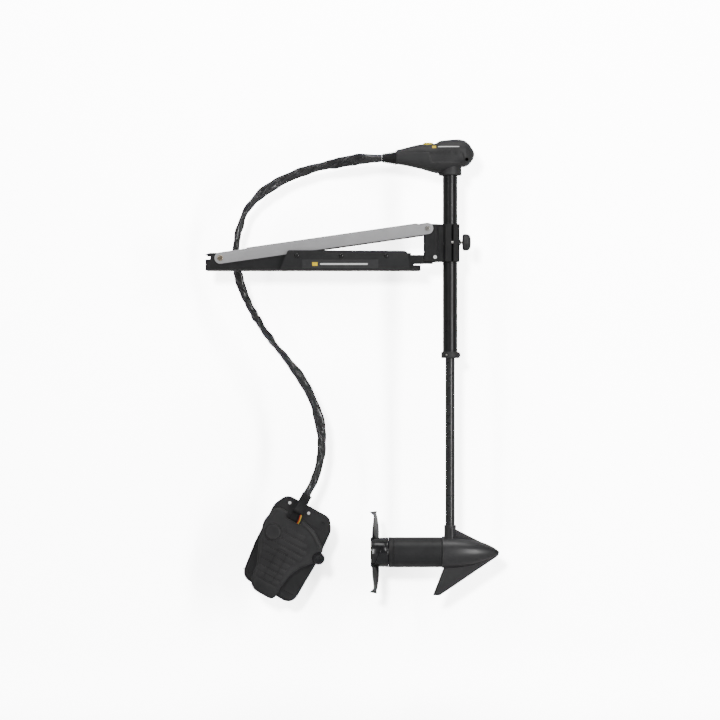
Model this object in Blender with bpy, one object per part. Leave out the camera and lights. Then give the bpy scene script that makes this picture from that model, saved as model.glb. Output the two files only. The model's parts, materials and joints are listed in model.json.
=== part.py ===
"""Bow-mount electric trolling motor with a foot pedal, as separate named pieces.

Frame: +X towards the bow, +Z up, origin on the underside of the deck mount.
Lengths below are in millimetres, and every mesh is built in metres through MM.
"""
import math

import bmesh
import bpy
from mathutils import Matrix, Vector

MM = 0.001
GAP = 0.3                   # left between pieces that touch

# Deck mount
BASE_BACK, BASE_FRONT = -325.0, 329.0
BASE_TOP = 53.0
BASE_FLOOR = 3.3
WALL_IN, WALL_OUT = 37.0, 40.0
LIP_TOP = 15.6              # top of the short front lip
LATCH_LOW, LATCH_HIGH = 21.4, 47.0
COVER_IN, COVER_OUT = 46.3, 58.0
COVER_SKIN = 3.0
COVER_SCREWS_X = (-46.5, 88.3, 224.3)
COVER_SCREW_Z = 43.7

# Lifting arm, from pivot A at the back to pivot C at the bracket
PIVOT_A = (-280.0, 37.0)
PIVOT_C = (350.0, 127.0)
ARM_IN, ARM_OUT = 41.0, 44.0
ARM_HALF = 17.5
PIVOT_BOLT_R = 5.0

# Bracket and clamp
BRACKET_LOW, BRACKET_HIGH = 27.0, 141.0
CATCH_PIN = (373.0, 40.0)
KNOB_Y, KNOB_Z = -31.0, 85.0

# Column
SHAFT_X = 420.0
TUBE_R, TUBE_BORE_R = 22.225, 20.0
TUBE_LOW, TUBE_HIGH = -262.0, 310.0
SHAFT_R, SHAFT_BORE_R = 14.3, 11.9
SHAFT_LOW, SHAFT_HIGH = -807.0, 340.0

# Head
HEAD_SPLIT = 359.4
HEAD_WALL = 3.0
HEAD_FLOOR = 314.0          # inner floor above the tube's seat
GEAR_LOW, GEAR_HIGH = 345.0, 353.0
TOOTH_MODULE = 1.25
PINION_TEETH = 16
PITCH_R = TOOTH_MODULE * PINION_TEETH / 2
TOOTH_PITCH = math.pi * TOOTH_MODULE
INDICATOR_X = SHAFT_X - 17 * TOOTH_PITCH

# Motor, measured from the shaft axis along X
MOTOR_Z = -860.0
MOTOR_R = 46.0
PROP_R = 123.0
HUB_R = 45.5
BLADE_ROOT_R = 38.0
BLADE_X = -228.0

# Pedal: local x across (v), y towards the toe (u), z towards the foot (w)
PEDAL_CENTRE = Vector((-80.0, 0.0, -849.0))
PEDAL_TOE = Vector((0.480, 0.0, 0.877)).normalized()
PEDAL_UP = Vector((0.0, -1.0, 0.0))
PEDAL_SIDE = PEDAL_TOE.cross(PEDAL_UP).normalized()
ROCK_U = -32.7              # rocking axis, halfway along the treadle
BASE_PLATE = (-40.0, -34.0)
TREADLE_PLATE = (12.0, 22.0)
BUTTON_AT, BUTTON_R = (-60.5, 26.0), 24.7
DIAL_AT, DIAL_R = (100.8, 22.0), 19.0
BOOT_V = -25.0
BOOT_U = (111.5, 174.0)

# Cable
CORD_R = 10.0
CORD_STEP = 48.0            # spacing of the tube's points


# ---------------------------------------------------------------- helpers

def clear_scene():
    for obj in list(bpy.data.objects):
        bpy.data.objects.remove(obj, do_unlink=True)


def material(name, colour, roughness, metallic=0.0):
    mat = bpy.data.materials.new(name)
    mat.use_nodes = True
    shader = mat.node_tree.nodes["Principled BSDF"]
    shader.inputs["Base Color"].default_value = (*colour, 1.0)
    shader.inputs["Roughness"].default_value = roughness
    shader.inputs["Metallic"].default_value = metallic
    return mat


def place(name, bm, mat=None, origin=(0, 0, 0), smooth=True):
    """Turn a bmesh in millimetres into an object whose origin is on its joint axis."""
    bmesh.ops.remove_doubles(bm, verts=bm.verts, dist=1e-4)
    bmesh.ops.recalc_face_normals(bm, faces=bm.faces)
    bmesh.ops.translate(bm, verts=bm.verts, vec=-Vector(origin))
    bmesh.ops.scale(bm, verts=bm.verts, vec=(MM, MM, MM))
    mesh = bpy.data.meshes.new(name)
    bm.to_mesh(mesh)
    bm.free()
    if smooth:
        mesh.shade_smooth()
        mesh.set_sharp_from_angle(angle=math.radians(35))
    obj = bpy.data.objects.new(name, mesh)
    obj.location = Vector(origin) * MM
    if mat:
        mesh.materials.append(mat)
    bpy.context.scene.collection.objects.link(obj)
    return obj


def boolean(target, bm, operation="DIFFERENCE"):
    """Cut a bmesh from an object, or join it on, with a hidden wire helper."""
    helper = place(target.name + "_helper", bm)
    helper.hide_render = True
    helper.display_type = "WIRE"
    mod = target.modifiers.new(operation.lower(), "BOOLEAN")
    mod.operation = operation
    mod.solver = "EXACT"
    mod.object = helper


def basis(axis):
    """Columns for an outline: its own x, its own y, and the way it is extruded."""
    return {
        "x": Matrix(((0, 0, 1), (1, 0, 0), (0, 1, 0))),      # outline in YZ
        "y": Matrix(((1, 0, 0), (0, 0, 1), (0, 1, 0))),      # outline in XZ
        "z": Matrix.Identity(3),                             # outline in XY
    }[axis].to_4x4()


def prism(points, axis, low, high):
    """Extrude a closed outline between two heights along a world axis."""
    bm = bmesh.new()
    turn = basis(axis)
    ring = [bm.verts.new(turn @ Vector((x, y, low))) for x, y in points]
    face = bm.faces.new(ring)
    pushed = bmesh.ops.extrude_face_region(bm, geom=[face])
    moved = [v for v in pushed["geom"] if isinstance(v, bmesh.types.BMVert)]
    bmesh.ops.translate(bm, verts=moved, vec=turn @ Vector((0, 0, high - low)))
    return bm


def block(x, y, z):
    """A box from three (low, high) pairs."""
    return prism([(x[0], y[0]), (x[1], y[0]), (x[1], y[1]), (x[0], y[1])], "z", *z)


def rod(axis, centre, radius, low, high, sides=20):
    """A round bar along a world axis; centre is its place in the other two axes."""
    points = [(centre[0] + radius * math.cos(a), centre[1] + radius * math.sin(a))
              for a in (2 * math.pi * i / sides for i in range(sides))]
    return prism(points, axis, low, high)


def turned(profile, axis, centre, sides=24):
    """Spin a closed (radius, along) outline about an axis; centre as for rod."""
    bm = bmesh.new()
    verts = [bm.verts.new((r, 0, h)) for r, h in profile]
    edges = [bm.edges.new(pair) for pair in zip(verts, verts[1:] + verts[:1])]
    bmesh.ops.spin(bm, geom=verts + edges, cent=(0, 0, 0), axis=(0, 0, 1),
                   angle=2 * math.pi, steps=sides, use_merge=True)
    bmesh.ops.remove_doubles(bm, verts=bm.verts, dist=1e-4)
    on_axis = [e for e in bm.edges if e.is_wire]
    bmesh.ops.delete(bm, geom=on_axis, context="EDGES")
    turn = basis(axis)
    turn.translation = turn @ Vector((*centre, 0))
    bmesh.ops.transform(bm, matrix=turn, verts=bm.verts)
    return bm


def ring_profile(inner, outer, low, high):
    return [(inner, low), (outer, low), (outer, high), (inner, high)]


def solid_profile(*outer):
    """Close an outer (radius, along) line onto the axis."""
    return [(0, outer[0][1]), *outer, (0, outer[-1][1])]


def rounded(corners, steps=4):
    """Outline with an arc of the given radius at each (x, y, radius) corner."""
    points = []
    count = len(corners)
    for i, (x, y, radius) in enumerate(corners):
        here = Vector((x, y))
        to_last = (Vector(corners[i - 1][:2]) - here)
        to_next = (Vector(corners[(i + 1) % count][:2]) - here)
        half = to_last.angle(to_next) / 2
        reach = radius / math.tan(half)
        reach = min(reach, 0.49 * to_last.length, 0.49 * to_next.length)
        if reach < 0.05:
            points.append((x, y))
            continue
        start = here + to_last.normalized() * reach
        end = here + to_next.normalized() * reach
        for k in range(steps + 1):
            t = k / steps
            spot = start * (1 - t) ** 2 + here * 2 * t * (1 - t) + end * t ** 2
            points.append((spot.x, spot.y))
    return points


def loft(sections):
    """Skin rings of equal count and close both ends."""
    bm = bmesh.new()
    rings = [[bm.verts.new(p) for p in section] for section in sections]
    for first, second in zip(rings, rings[1:]):
        for i in range(len(first)):
            j = (i + 1) % len(first)
            bm.faces.new((first[i], first[j], second[j], second[i]))
    bm.faces.new(rings[0])
    bm.faces.new(rings[-1])
    return bm


def to_pedal(bm):
    """Move a mesh drawn in the pedal's own axes to where the pedal hangs."""
    turn = Matrix((PEDAL_SIDE, PEDAL_TOE, PEDAL_UP)).transposed().to_4x4()
    turn.translation = PEDAL_CENTRE
    bmesh.ops.transform(bm, matrix=turn, verts=bm.verts)
    return bm


def pedal_point(v, u, w):
    return PEDAL_CENTRE + PEDAL_SIDE * v + PEDAL_TOE * u + PEDAL_UP * w


# ---------------------------------------------------------------- materials

def make_materials():
    return {
        "coated_metal": material("coated_metal", (0.018, 0.018, 0.019), 0.42, 0.0),
        "black_plastic": material("black_plastic", (0.022, 0.022, 0.023), 0.5, 0.0),
        "arm_metal": material("arm_metal", (0.56, 0.56, 0.57), 0.38, 0.6),
        "steel": material("steel", (0.62, 0.6, 0.57), 0.3, 1.0),
        "yellow_plastic": material("yellow_plastic", (0.8, 0.62, 0.02), 0.4, 0.0),
        "prop_plastic": material("prop_plastic", (0.012, 0.012, 0.013), 0.22, 0.0),
        "rubber": material("rubber", (0.02, 0.02, 0.021), 0.7, 0.0),
        "nylon": material("nylon", (0.75, 0.74, 0.7), 0.5, 0.0),
        "magnet": material("magnet", (0.08, 0.08, 0.085), 0.6, 0.0),
        "copper": material("copper", (0.72, 0.36, 0.18), 0.35, 1.0),
    }


# ---------------------------------------------------------------- deck mount

def make_base(mats):
    section = [(-ARM_OUT, 0), (ARM_OUT, 0), (ARM_OUT, BASE_FLOOR), (WALL_OUT, BASE_FLOOR),
               (WALL_OUT, BASE_TOP), (WALL_IN, BASE_TOP), (WALL_IN, BASE_FLOOR),
               (-WALL_IN, BASE_FLOOR), (-WALL_IN, BASE_TOP), (-WALL_OUT, BASE_TOP),
               (-WALL_OUT, BASE_FLOOR), (-ARM_OUT, BASE_FLOOR)]
    base = place("base_channel", prism(section, "x", BASE_BACK, BASE_FRONT), mats["coated_metal"])
    across = (-60, 60)
    notch = rounded([(BASE_BACK - 20, 33, 0), (-310, 33, 5), (-310, 45, 5), (BASE_BACK - 20, 45, 0)])
    boolean(base, prism(notch, "y", *across))
    prong = [(BASE_BACK - 5, 46), (-311, 53.5), (-311, 60), (BASE_BACK - 5, 60)]
    boolean(base, prism(prong, "y", *across))
    step = [(300, LATCH_LOW), (308, LATCH_LOW), (308, LIP_TOP), (340, LIP_TOP), (340, 70), (300, 70)]
    boolean(base, prism(step, "y", *across))
    boolean(base, rod("y", PIVOT_A, PIVOT_BOLT_R + GAP, *across))
    for x in COVER_SCREWS_X:
        boolean(base, rod("y", (x, COVER_SCREW_Z), 2.4, *across, sides=12))
    for x in (-240.0, 180.0):
        for y in (-22.0, 22.0):
            boolean(base, rod("z", (x, y), 3.5, -5, 8, sides=16))

    tongue_y, bar_y, shoulder, tongue_end = 28.0, 36.5, 337.0, 366.8
    side = [(180, BASE_FLOOR + GAP), (296, BASE_FLOOR + GAP), (296, LATCH_LOW), (tongue_end, LATCH_LOW),
            (tongue_end, LATCH_HIGH), (180, LATCH_HIGH)]
    bar = place("latch_bar", prism(side, "y", -bar_y, bar_y), mats["coated_metal"])
    boolean(bar, block((170, 330), (-33, 33), (0, LATCH_HIGH - 4)))
    for cheek in ((-50, -tongue_y), (tongue_y, 50)):
        boolean(bar, block((shoulder, 380), cheek, (0, 60)))


def cover_outline(inset=0.0):
    """Side view of a cover: slanted back end, rounded top front corner."""
    i = inset
    return rounded([(-98 + 1.3 * i, 1 + i, 0), (295 - i, 1 + i, 2), (292 - i, 30, 0),
                    (290 - i, 58.5 - i, 16), (-74 + 0.8 * i, 60 - i, 9)])


def make_covers(mats):
    for side, word in ((-1, "near"), (1, "far")):
        faces = sorted((side * COVER_IN, side * COVER_OUT))
        cover = place("side_cover_" + word, prism(cover_outline(), "y", *faces), mats["black_plastic"])
        hollow = sorted((side * (COVER_IN - 3), side * (COVER_OUT - COVER_SKIN)))
        boolean(cover, prism(cover_outline(COVER_SKIN), "y", *hollow))
        boss = sorted((side * (WALL_OUT + GAP), side * (COVER_OUT - 1)))
        for x in COVER_SCREWS_X:
            boolean(cover, rod("y", (x, COVER_SCREW_Z), 6.0, *boss, sides=16), "UNION")
        for x in COVER_SCREWS_X:
            through = sorted((side * (WALL_OUT - 4), side * (COVER_OUT + 4)))
            boolean(cover, rod("y", (x, COVER_SCREW_Z), 2.4, *through, sides=12))
    number = 1
    for side in (-1, 1):
        for x in COVER_SCREWS_X:
            head = COVER_OUT + GAP
            profile = solid_profile((2.0, WALL_IN + GAP), (2.0, head), (7.5, head), (7.0, head + 1.6),
                                    (4.2, head + 3.4))
            profile = [(r, side * h) for r, h in profile]
            place("cover_screw_%d" % number, turned(profile, "y", (x, COVER_SCREW_Z), 16), mats["steel"])
            number += 1


def make_arm(mats):
    run = Vector(PIVOT_C) - Vector(PIVOT_A)
    along = run.normalized()
    up = Vector((-along.y, along.x))

    def spot(s, t):
        here = Vector(PIVOT_A) + along * s + up * t
        return (here.x, here.y)

    def end(s, start, sides=8):
        turns = [math.radians(start + 180 * i / sides) for i in range(sides + 1)]
        return [spot(s + ARM_HALF * math.cos(a), ARM_HALF * math.sin(a)) for a in turns]

    stadium = end(run.length, -90) + end(0, 90)
    origin = (PIVOT_A[0], 0, PIVOT_A[1])
    arm = place("lift_arm", prism(stadium, "y", -ARM_OUT, -ARM_IN), mats["arm_metal"], origin)
    web_y = 42.5
    web = [spot(78, 15), spot(612, 15), spot(608, 20.5), spot(84, 20.5)]
    boolean(arm, prism(web, "y", -web_y, web_y), "UNION")
    boolean(arm, prism(stadium, "y", ARM_IN, ARM_OUT), "UNION")
    for pivot in (PIVOT_A, PIVOT_C):
        boolean(arm, rod("y", pivot, PIVOT_BOLT_R + GAP, -60, 60))

    for name, pivot, head_r in (("arm_pivot", PIVOT_A, 9.0), ("bracket_pivot", PIVOT_C, 7.6)):
        face = ARM_OUT + GAP
        bolt = solid_profile((PIVOT_BOLT_R, face + 8), (PIVOT_BOLT_R, -face), (head_r, -face),
                             (head_r, -face - 3), (head_r - 1.5, -face - 4))
        bolt_obj = place(name + "_bolt", turned(bolt, "y", pivot, 20), mats["steel"])
        socket = rod("y", pivot, 3.0, -face - 6, -face - 1.5, sides=6)
        boolean(bolt_obj, socket)
        nut = prism([(pivot[0] + 9 * math.cos(math.radians(60 * i)),
                      pivot[1] + 9 * math.sin(math.radians(60 * i))) for i in range(6)],
                    "y", face, face + 7)
        nut_obj = place(name + "_nut", nut, mats["steel"], smooth=False)
        boolean(nut_obj, rod("y", pivot, PIVOT_BOLT_R + GAP, 30, 70))
    sleeve = ring_profile(PIVOT_BOLT_R + GAP, 8.0, -WALL_IN + GAP, WALL_IN - GAP)
    place("arm_pivot_sleeve", turned(sleeve, "y", PIVOT_A, 20), mats["nylon"])


# ---------------------------------------------------------------- bracket

def bore_arc(start, end, steps, radius):
    """Points of the tube bore, as seen from above, around the shaft axis."""
    turns = [math.radians(start + (end - start) * i / steps) for i in range(steps + 1)]
    return [(SHAFT_X + radius * math.cos(a), radius * math.sin(a)) for a in turns]


def make_bracket(mats):
    origin = (PIVOT_C[0], 0, PIVOT_C[1])
    bore = TUBE_R + 0.4
    half = 83.0
    plan = [(340, -40.3), (380, -40.3), (383, -28), (401.4, -28), (401.4, -36), (404.4, -39.5),
            (422.7, -39.5), *bore_arc(-half, half - 360, 18, bore),
            (422.7, 39.5), (404.4, 39.5), (401.4, 36), (401.4, 28), (383, 28), (380, 40.3), (340, 40.3)]
    bracket = place("motor_bracket", prism(plan, "z", BRACKET_LOW, BRACKET_HIGH), mats["coated_metal"], origin)
    boolean(bracket, block((330, 374), (-32, 32), (20, 150)))
    boolean(bracket, rod("y", PIVOT_C, PIVOT_BOLT_R + GAP, -60, 60))
    boolean(bracket, rod("y", CATCH_PIN, 5.1, -60, 60, sides=16))

    jaw_edge = math.degrees(math.acos(9.0 / bore))
    jaw_plan = [(429, -39.5), (443, -39.5), (447.5, -35), (447.5, 35), (443, 39.5), (429, 39.5),
                *bore_arc(jaw_edge, -jaw_edge, 12, bore)]
    jaw = place("clamp_jaw", prism(jaw_plan, "z", BRACKET_LOW, BRACKET_HIGH), mats["coated_metal"], origin)
    boolean(jaw, rod("x", (KNOB_Y, KNOB_Z), 8.5, 440, 451, sides=24), "UNION")
    for y, radius in ((KNOB_Y, 4.6), (-KNOB_Y, 4.1)):
        boolean(jaw, rod("x", (y, KNOB_Z), radius, 400, 470, sides=16))
        boolean(bracket, rod("x", (y, KNOB_Z), radius, 397, 430, sides=16))

    knob_origin = (0, KNOB_Y, KNOB_Z)
    knob = turned(solid_profile((9, 455.5), (12, 456), (23, 457), (25.4, 460), (25.4, 471),
                                (23, 477), (16, 481), (8, 482)), "x", (KNOB_Y, KNOB_Z), 24)
    knob_obj = place("clamp_knob", knob, mats["black_plastic"], knob_origin)
    boolean(knob_obj, rod("x", (KNOB_Y, KNOB_Z), 4.6, 450, 470.6, sides=16))
    place("clamp_stud", rod("x", (KNOB_Y, KNOB_Z), 4.2, 404, 470, sides=16), mats["steel"], knob_origin)
    bolt = solid_profile((3.7, 404), (3.7, 447.8), (6.5, 447.8), (6.5, 453))
    place("clamp_side_bolt", turned(bolt, "x", (-KNOB_Y, KNOB_Z), 12), mats["steel"], origin)
    pin = solid_profile((5.6, -43.5), (5.6, -40.6), (4.7, -40.6), (4.7, 40.6), (5.6, 40.6), (5.6, 43.5))
    place("catch_pin", turned(pin, "y", CATCH_PIN, 16), mats["nylon"], origin)


# ---------------------------------------------------------------- column

def make_column(mats):
    centre = (SHAFT_X, 0)
    origin = (SHAFT_X, 0, 0)
    tube = ring_profile(TUBE_BORE_R, TUBE_R, TUBE_LOW, TUBE_HIGH)
    place("outer_tube", turned(tube, "z", centre, 32), mats["coated_metal"], origin)
    shaft = ring_profile(SHAFT_BORE_R, SHAFT_R, SHAFT_LOW, SHAFT_HIGH)
    place("inner_shaft", turned(shaft, "z", centre, 24), mats["coated_metal"], origin)
    bush_in, bush_out = SHAFT_R + 0.5, TUBE_BORE_R - 0.4
    for name, low, high in (("tube_bushing", TUBE_LOW + 1, TUBE_LOW + 31), ("head_bushing", 279, 309)):
        place(name, turned(ring_profile(bush_in, bush_out, low, high), "z", centre, 24), mats["nylon"], origin)

    low, high, ledge = -267.4, -247.5, TUBE_LOW - GAP
    collar = [(15.2, low), (24.5, low), (27.5, low + 5), (27.5, high - 5), (24.5, high),
              (TUBE_R + 0.4, high), (TUBE_R + 0.4, ledge), (15.2, ledge)]
    collar_obj = place("lower_collar", turned(collar, "z", centre, 24), mats["black_plastic"], origin)
    middle = (low + high) / 2
    boolean(collar_obj, block((SHAFT_X + 24, SHAFT_X + 30), (-9, 9), (low + 3, high - 3)), "UNION")
    boolean(collar_obj, rod("x", (0, middle), 1.9, SHAFT_X + 25, SHAFT_X + 33, sides=12))
    boolean(collar_obj, rod("y", (SHAFT_X - 12, middle), 1.9, -32, -22.6, sides=12))
    side = solid_profile((1.6, SHAFT_X + 25.6), (1.6, SHAFT_X + 30.3), (3.6, SHAFT_X + 30.3),
                         (3.0, SHAFT_X + 32))
    place("collar_screw_1", turned(side, "x", (0, middle), 12), mats["steel"], origin)
    near = solid_profile((1.6, -23.5), (1.6, -26.8), (3.4, -26.8), (2.8, -28.4))
    place("collar_screw_2", turned(near, "y", (SHAFT_X - 12, middle), 12), mats["nylon"], origin)


# ---------------------------------------------------------------- head

# (x from the shaft axis, bottom, top, half width) of each section of the head
HEAD_SECTIONS = (
    (-164, 325, 369, 23), (-130, 320, 377, 29), (-93.5, 312, 385.5, 36), (-66, 304, 385.5, 42),
    (-45.5, 299, 388, 46), (-32, 297, 396, 48), (-10, 302, 399, 49.5), (26.6, 316, 401, 49.5),
    (46, 320, 396, 46), (59, 329, 384, 39), (69, 342, 368, 28), (73.6, 351, 361, 15))


def head_ring(x, low, high, half_width, count=24, power=2.7):
    """Superellipse section across the head."""
    points = []
    for i in range(count):
        a = 2 * math.pi * (i + 0.5) / count
        c, s = math.cos(a), math.sin(a)
        y = half_width * math.copysign(abs(c) ** (2 / power), c)
        z = (low + high) / 2 + (high - low) / 2 * math.copysign(abs(s) ** (2 / power), s)
        points.append((SHAFT_X + x, y, z))
    return points


def head_shell(inset):
    """The head's outer skin, or its hollow when inset by the wall."""
    sections = []
    for x, low, high, half_width in HEAD_SECTIONS:
        if inset:
            low, high, half_width = low + inset, high - inset, half_width - inset
            if x > -40:
                low = max(low, HEAD_FLOOR)
            x = max(x, HEAD_SECTIONS[0][0] + inset)
            x = min(x, HEAD_SECTIONS[-1][0] - inset)
        sections.append(head_ring(x, low, high, half_width))
    return loft(sections)


def gear_outline(centre, turn=0.0):
    """Simple spur pinion with straight-sided, slack teeth."""
    points = []
    root, tip = PITCH_R - 1.5 * TOOTH_MODULE, PITCH_R + 0.8 * TOOTH_MODULE
    for i in range(PINION_TEETH):
        middle = turn + 2 * math.pi * i / PINION_TEETH
        step = 2 * math.pi / PINION_TEETH
        for radius, offset in ((root, -0.26), (tip, -0.1), (tip, 0.1), (root, 0.26)):
            a = middle + offset * step
            points.append((centre[0] + radius * math.cos(a), centre[1] + radius * math.sin(a)))
    return points


def make_gears(mats):
    origin = (SHAFT_X, 0, 0)
    half_tooth = math.pi / PINION_TEETH
    facing = math.pi / 2 + half_tooth       # a gap faces the rack, where a rack tooth stands
    pinion = place("steering_pinion", prism(gear_outline((SHAFT_X, 0), facing), "z", GEAR_LOW, GEAR_HIGH),
                   mats["nylon"], origin)
    boolean(pinion, rod("z", (SHAFT_X, 0), SHAFT_BORE_R - 0.3, SHAFT_HIGH - 20, SHAFT_HIGH + 2, 20), "UNION")
    boolean(pinion, rod("z", (SHAFT_X, 0), 7.0, SHAFT_HIGH, GEAR_LOW + 2, 16), "UNION")
    small = place("indicator_pinion",
                  prism(gear_outline((INDICATOR_X, 0), facing), "z", GEAR_LOW, GEAR_HIGH),
                  mats["nylon"], (INDICATOR_X, 0, 0))
    boolean(small, rod("z", (INDICATOR_X, 0), 4.3, 300, 400, sides=16))

    teeth = 33
    root_y, tip_y, back_y = PITCH_R + 1.4 * TOOTH_MODULE, PITCH_R - 0.8 * TOOTH_MODULE, 19.0
    first = SHAFT_X - 25 * TOOTH_PITCH
    outline = [(first - TOOTH_PITCH / 2, back_y), (first - TOOTH_PITCH / 2, root_y)]
    for i in range(teeth + 1):
        middle = first + i * TOOTH_PITCH
        outline += [(middle - 0.24 * TOOTH_PITCH, root_y), (middle - 0.1 * TOOTH_PITCH, tip_y),
                    (middle + 0.1 * TOOTH_PITCH, tip_y), (middle + 0.24 * TOOTH_PITCH, root_y)]
    last = first + (teeth + 0.5) * TOOTH_PITCH
    outline += [(last, root_y), (last, back_y)]
    place("steering_rack", prism(outline, "z", GEAR_LOW, GEAR_HIGH), mats["nylon"])


def make_head(mats):
    origin = (SHAFT_X, 0, 0)
    centre = (SHAFT_X, 0)
    plastic = mats["black_plastic"]
    wide = (-80, 80)
    lower = place("head_lower_housing", head_shell(0), plastic, origin)
    boolean(lower, rod("z", centre, 35.0, 291, 330, sides=32), "UNION")
    boolean(lower, head_shell(HEAD_WALL))
    boolean(lower, rod("z", centre, TUBE_R + 0.4, 280, TUBE_HIGH + 0.3, sides=32))
    boolean(lower, rod("z", centre, SHAFT_R + 0.9, 280, 340, sides=24))
    boolean(lower, block((200, 520), wide, (HEAD_SPLIT - GAP / 2, 440)))
    cover = place("head_top_cover", head_shell(0), plastic, origin)
    boolean(cover, head_shell(HEAD_WALL))
    boolean(cover, block((200, 520), wide, (250, HEAD_SPLIT + GAP / 2)))
    boolean(cover, rod("z", (INDICATOR_X, 0), 20.2, 366, 410, sides=24))

    dome = solid_profile((4.0, GEAR_LOW - 3), (4.0, 374), (19.6, 376), (19.6, 386.5), (17, 389), (8, 391.5))
    place("direction_indicator", turned(dome, "z", (INDICATOR_X, 0), 24), mats["yellow_plastic"],
          (INDICATOR_X, 0, 0))

    back, tip = SHAFT_X - 164 - GAP, SHAFT_X - 208
    ribs = 7
    profile = [(9.0, back), (22.0, back)]
    for i in range(ribs):
        along = back + (tip - back) * (i + 0.5) / (ribs + 1)
        radius = 22.0 - 7.3 * (i + 0.5) / (ribs + 1)
        profile += [(radius, along + 1.6), (radius - 1.8, along + 0.9), (radius - 1.8, along - 0.9),
                    (radius - 0.6, along - 1.6)]
    profile += [(14.7, tip + 3), (13.0, tip), (9.0, tip)]
    place("strain_relief", turned(profile, "x", (0, 344), 20), mats["rubber"], origin)


# ---------------------------------------------------------------- motor

def make_lower_unit(mats):
    centre = (0, MOTOR_Z)
    origin = (SHAFT_X, 0, MOTOR_Z)
    nose_back = SHAFT_X - 25.4
    nose_length = 176.4

    def ogive(radius, length, steps, power=2.2):
        """Nose outline from its back edge to its tip."""
        points = []
        for i in range(steps + 1):
            t = math.sin(math.pi / 2 * i / steps)
            points.append((radius * (1 - t ** power) ** 0.75, nose_back + length * t))
        return points

    outside = ogive(48.5, nose_length, 12)
    inside = ogive(44.0, nose_length - 45, 8)
    nose = place("nose_housing", turned(outside + inside[::-1], "x", centre, 32), mats["coated_metal"], origin)
    boolean(nose, rod("z", (SHAFT_X, 0), 18.5, MOTOR_Z + 45.5, -777, sides=24), "UNION")
    z = MOTOR_Z
    fin = [(SHAFT_X + 14, z + 46), (SHAFT_X + 14, z + 69), (SHAFT_X + 20, z + 69), (SHAFT_X + 145, z + 6),
           (SHAFT_X + 130, z + 4), (SHAFT_X + 60, z + 38)]
    boolean(nose, prism(fin, "y", -2.5, 2.5), "UNION")
    skeg = [(SHAFT_X - 17, z - 46.5), (SHAFT_X - 53, z - 132), (SHAFT_X - 31, z - 132), (SHAFT_X + 144, z - 13),
            (SHAFT_X + 120, z - 12), (SHAFT_X + 60, z - 40)]
    boolean(nose, prism(skeg, "y", -3, 3), "UNION")
    boolean(nose, rod("z", (SHAFT_X, 0), SHAFT_R + 0.3, SHAFT_LOW - 0.5, -770, sides=24))
    boolean(nose, rod("z", (SHAFT_X, 0), 10.0, MOTOR_Z + 30, -790, sides=16))

    def along(r_list):
        return [(r, SHAFT_X + x) for r, x in r_list]

    back = -173.0
    place("motor_tube", turned(along(ring_profile(43.5, MOTOR_R, back + GAP, -25.4 - GAP)), "x", centre, 32),
          mats["coated_metal"], origin)
    bell = along([(5.5, -188.3), (38, -188.3), (45.4, -186), (MOTOR_R, -183), (MOTOR_R, back), (42, back),
                  (42, -182), (14, -182), (14, -177.5), (11.4, -177.5), (11.4, -185), (5.5, -185)])
    place("rear_bell", turned(bell, "x", centre, 32), mats["coated_metal"], origin)
    place("rear_bearing", turned(along(ring_profile(5.1, 11.0, -184.6, -178)), "x", centre, 20),
          mats["steel"], origin)
    place("front_bearing", turned(along(ring_profile(5.1, 11.0, -34, -27)), "x", centre, 20),
          mats["steel"], origin)
    holder = along([(11.4, -35), (43.1, -35), (43.1, -31), (15, -31), (15, -26), (11.4, -26)])
    place("bearing_plate", turned(holder, "x", centre, 24), mats["arm_metal"], origin)
    plate = along(ring_profile(16.5, 43.1, -170, -166))
    place("brush_plate", turned(plate, "x", centre, 24), mats["nylon"], origin)

    for name, first in (("magnet_upper", 20.0), ("magnet_lower", 200.0)):
        turns = [math.radians(first + 14 * i) for i in range(11)]
        arc = [(36.5 * math.cos(a), 36.5 * math.sin(a)) for a in turns]
        arc += [(43.0 * math.cos(a), 43.0 * math.sin(a)) for a in reversed(turns)]
        arc = [(y, MOTOR_Z + h) for y, h in arc]
        place(name, prism(arc, "x", SHAFT_X - 155, SHAFT_X - 45), mats["magnet"], origin)


def make_rotor(mats):
    centre = (0, MOTOR_Z)
    origin = (SHAFT_X, 0, MOTOR_Z)
    slots = 12
    star = []
    for i in range(slots):
        for radius, offset in ((35.0, -0.36), (35.0, 0.36), (24.0, 0.42), (24.0, 0.58)):
            a = 2 * math.pi * (i + offset) / slots
            star.append((radius * math.cos(a), MOTOR_Z + radius * math.sin(a)))
    armature = place("armature", prism(star, "x", SHAFT_X - 148, SHAFT_X - 52), mats["magnet"], origin)
    boolean(armature, rod("x", centre, 5.1, SHAFT_X - 160, SHAFT_X - 40, sides=20))
    ring = [(r, SHAFT_X + x) for r, x in ring_profile(5.1, 14.5, -172, -153)]
    place("commutator", turned(ring, "x", centre, 20), mats["copper"], origin)
    shaft = place("armature_shaft", rod("x", centre, 4.75, SHAFT_X - 238, SHAFT_X - 26, sides=20),
                  mats["steel"], origin)
    pin_x = SHAFT_X - 199.0
    boolean(shaft, rod("z", (pin_x, 0), 2.4, MOTOR_Z - 10, MOTOR_Z + 10, sides=12))
    place("drive_pin", rod("z", (pin_x, 0), 2.0, MOTOR_Z - 11, MOTOR_Z + 11, sides=12), mats["steel"], origin)
    nut = prism([(9.5 * math.cos(math.radians(60 * i)), MOTOR_Z + 9.5 * math.sin(math.radians(60 * i)))
                 for i in range(6)], "x", SHAFT_X - 234, SHAFT_X - 226)
    nut_obj = place("prop_nut", nut, mats["steel"], origin, smooth=False)
    boolean(nut_obj, rod("x", centre, 5.05, SHAFT_X - 240, SHAFT_X - 220, sides=20))
    make_propeller(mats, origin, centre, pin_x)


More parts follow.
